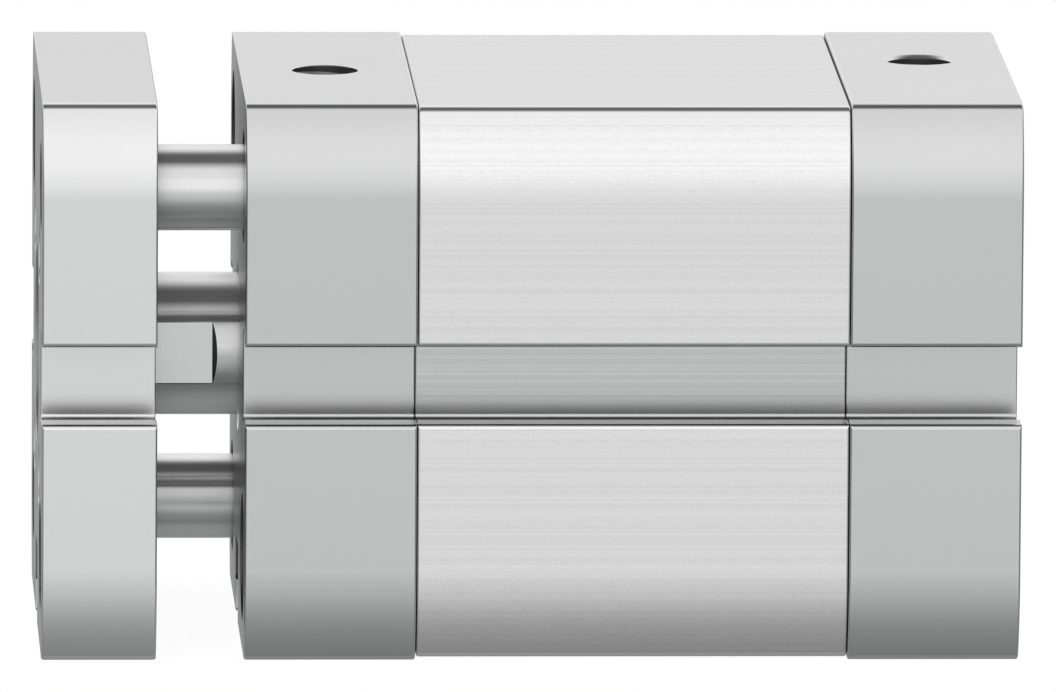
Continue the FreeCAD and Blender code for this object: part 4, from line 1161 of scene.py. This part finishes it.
FLOOR_MARGIN = 8.0 * MM
FLOOR_TONE = 0.25
FLOOR_WHITE = 0.93
CAMERA_AZIMUTH = math.radians(2.378)
CAMERA_ELEVATION = math.radians(8.9)
CAMERA_ROLL = math.radians(0.353)
CAMERA_DISTANCE = 1524.4 * MM
CAMERA_TARGET = Vector((-33.58, 0.0, -0.226)) * MM
CAMERA_LENS = 739.1
SENSOR_WIDTH = 36.0


def make_camera():
    """A long lens a little above and to the left of the middle."""
    flat = math.cos(CAMERA_ELEVATION)
    ahead = Vector(
        (math.sin(CAMERA_AZIMUTH) * flat, math.cos(CAMERA_AZIMUTH) * flat, -math.sin(CAMERA_ELEVATION))
    )
    right = ahead.cross(Vector((0, 0, 1))).normalized()
    up = right.cross(ahead)
    level = right.copy()
    right = level * math.cos(CAMERA_ROLL) + up * math.sin(CAMERA_ROLL)
    up = up * math.cos(CAMERA_ROLL) - level * math.sin(CAMERA_ROLL)
    lens = bpy.data.cameras.new("camera")
    lens.lens = CAMERA_LENS
    lens.sensor_width = SENSOR_WIDTH
    camera = bpy.data.objects.new("camera", lens)
    camera.matrix_world = Matrix((right, up, -ahead)).transposed().to_4x4()
    camera.location = CAMERA_TARGET - ahead * CAMERA_DISTANCE
    scene.collection.objects.link(camera)
    scene.camera = camera


def seen_directly(tree, path):
    """1 for rays from the camera, straight or through glass, and 0 for all others."""
    return math_node(tree, "MAXIMUM", path.outputs["Is Camera Ray"], path.outputs["Is Transmission Ray"])


def make_floor():
    """A pale sheet under the object that reads as white and keeps its shadow; metal doesn't mirror it."""
    parts = bmesh.new()
    left, right = cad_low.x - FLOOR_MARGIN, cad_high.x + FLOOR_MARGIN
    front, back = cad_low.y - FLOOR_MARGIN, cad_high.y + FLOOR_MARGIN
    corners = [(left, front), (right, front), (right, back), (left, back)]
    parts.faces.new([parts.verts.new((x, y, FLOOR_LEVEL)) for x, y in corners])
    floor = new_piece("floor", parts)
    material = bpy.data.materials.new("pale_floor")
    material.use_nodes = True
    tree = material.node_tree
    tree.nodes.clear()
    matt = tree.nodes.new("ShaderNodeBsdfDiffuse")
    matt.inputs["Color"].default_value = (FLOOR_TONE, FLOOR_TONE, FLOOR_TONE, 1.0)
    white = tree.nodes.new("ShaderNodeEmission")
    path = tree.nodes.new("ShaderNodeLightPath")
    direct = math_node(tree, "MULTIPLY", seen_directly(tree, path), FLOOR_WHITE)
    tree.links.new(direct, white.inputs["Strength"])
    sheet = tree.nodes.new("ShaderNodeAddShader")
    tree.links.new(matt.outputs[0], sheet.inputs[0])
    tree.links.new(white.outputs[0], sheet.inputs[1])
    clear = tree.nodes.new("ShaderNodeBsdfTransparent")
    either = tree.nodes.new("ShaderNodeMixShader")
    tree.links.new(path.outputs["Is Glossy Ray"], either.inputs["Fac"])
    tree.links.new(sheet.outputs[0], either.inputs[1])
    tree.links.new(clear.outputs[0], either.inputs[2])
    out = tree.nodes.new("ShaderNodeOutputMaterial")
    tree.links.new(either.outputs[0], out.inputs["Surface"])
    floor.data.materials.append(material)


# Brightness of the studio by height round the axis, in degrees: 0 is the horizon before the object, 90 is
# overhead, 180 is the horizon behind it and -90 is straight below. 1 is white, as the background is.
STUDIO = [
    (-180, 0.45),
    (-140, 0.31),
    (-83, 0.29),
    (-68, 0.21),
    (-45, 0.29),
    (-34, 0.41),
    (-24, 0.57),
    (-9, 0.69),
    (7, 1.0),
    (29, 1.0),
    (36, 0.9),
    (58, 0.88),
    (70, 0.49),
    (80, 0.13),
    (104, 0.12),
    (113, 0.27),
    (122, 0.66),
    (136, 1.0),
    (180, 1.0),
]
GROUND_TINT = (0.988, 1.008, 1.0)

# Brightness to the left and right of the object by the upright part of the direction, with a dark belt that
# draws the edges of the pieces.
SIDES = [
    (-1.0, 0.32),
    (-0.38, 0.30),
    (-0.24, 0.05),
    (0.05, 0.04),
    (0.35, 0.75),
    (1.0, 0.75),
]

# Where the sides take over from the studio and where the middle of the sides takes over from the belt, by the
# part of the direction along X, and the brightness of that middle.
SIDES_START = 0.5
SIDES_END = 0.9
MIDDLE_START = 0.92
MIDDLE_END = 0.98
SIDE_MIDDLE = 0.42

WHITE = (1.0, 1.0, 1.0)


def graded(tree, value, stops):
    """A colour that runs through stops, which are pairs of a value from 0 to 1 and a colour."""
    ramp = tree.nodes.new("ShaderNodeValToRGB")
    elements = ramp.color_ramp.elements
    while len(elements) < len(stops):
        elements.new(0.5)
    for element, (position, colour) in zip(elements, stops):
        element.position = position
        element.color = (*colour, 1.0)
    tree.links.new(value, ramp.inputs["Fac"])
    return ramp.outputs["Color"]


def eased(tree, value, start, end):
    """0 below the start, 1 above the end, and a smooth rise between the two."""
    node = tree.nodes.new("ShaderNodeMapRange")
    node.interpolation_type = "SMOOTHSTEP"
    node.inputs["From Min"].default_value = start
    node.inputs["From Max"].default_value = end
    tree.links.new(value, node.inputs["Value"])
    return node.outputs["Result"]


def blended(tree, share, first, second):
    """A blend of a colour's socket with a second one's, or with a plain colour."""
    node = tree.nodes.new("ShaderNodeMix")
    node.data_type = "RGBA"
    tree.links.new(share, node.inputs["Factor"])
    tree.links.new(first, node.inputs["A"])
    if isinstance(second, bpy.types.NodeSocket):
        tree.links.new(second, node.inputs["B"])
    else:
        node.inputs["B"].default_value = (*second, 1.0)
    return node.outputs["Result"]


def make_world():
    """A bright front, a dark gap overhead, a paler back, dark ground, and a white background."""
    world = bpy.data.worlds.new("studio")
    scene.world = world
    world.use_nodes = True
    tree = world.node_tree
    tree.nodes.clear()
    place = tree.nodes.new("ShaderNodeTexCoord")
    axes = tree.nodes.new("ShaderNodeSeparateXYZ")
    tree.links.new(place.outputs["Generated"], axes.inputs[0])
    front = math_node(tree, "MULTIPLY", axes.outputs["Y"], -1.0)
    height = math_node(tree, "ARCTAN2", axes.outputs["Z"], front)
    share = math_node(tree, "ADD", math_node(tree, "DIVIDE", height, 2 * math.pi), 0.5)
    round_axis = []
    for degrees, level in STUDIO:
        tint = GROUND_TINT if degrees < 0 else WHITE
        round_axis.append((degrees / 360 + 0.5, [level * part for part in tint]))
    studio = graded(tree, share, round_axis)
    aside = math_node(tree, "ABSOLUTE", axes.outputs["X"])
    upright = math_node(tree, "MULTIPLY_ADD", axes.outputs["Z"], 0.5, 0.5)
    sides = graded(tree, upright, [(part / 2 + 0.5, (level, level, level)) for part, level in SIDES])
    middle_share = eased(tree, aside, MIDDLE_START, MIDDLE_END)
    middle = blended(tree, middle_share, sides, (SIDE_MIDDLE, SIDE_MIDDLE, SIDE_MIDDLE))
    around = blended(tree, eased(tree, aside, SIDES_START, SIDES_END), studio, middle)
    path = tree.nodes.new("ShaderNodeLightPath")
    background = tree.nodes.new("ShaderNodeBackground")
    out = tree.nodes.new("ShaderNodeOutputWorld")
    tree.links.new(blended(tree, seen_directly(tree, path), around, WHITE), background.inputs["Color"])
    tree.links.new(background.outputs[0], out.inputs["Surface"])


make_yoke_plate()
make_piston_rod()
make_guide_rods()
make_yoke_screws()
make_bearing_cap()
make_cylinder_barrel()
make_end_cap()
make_collar_screws()
make_guide_bushes()
make_rod_seal()
finish_inner_nodes()
make_camera()
make_floor()
make_world()
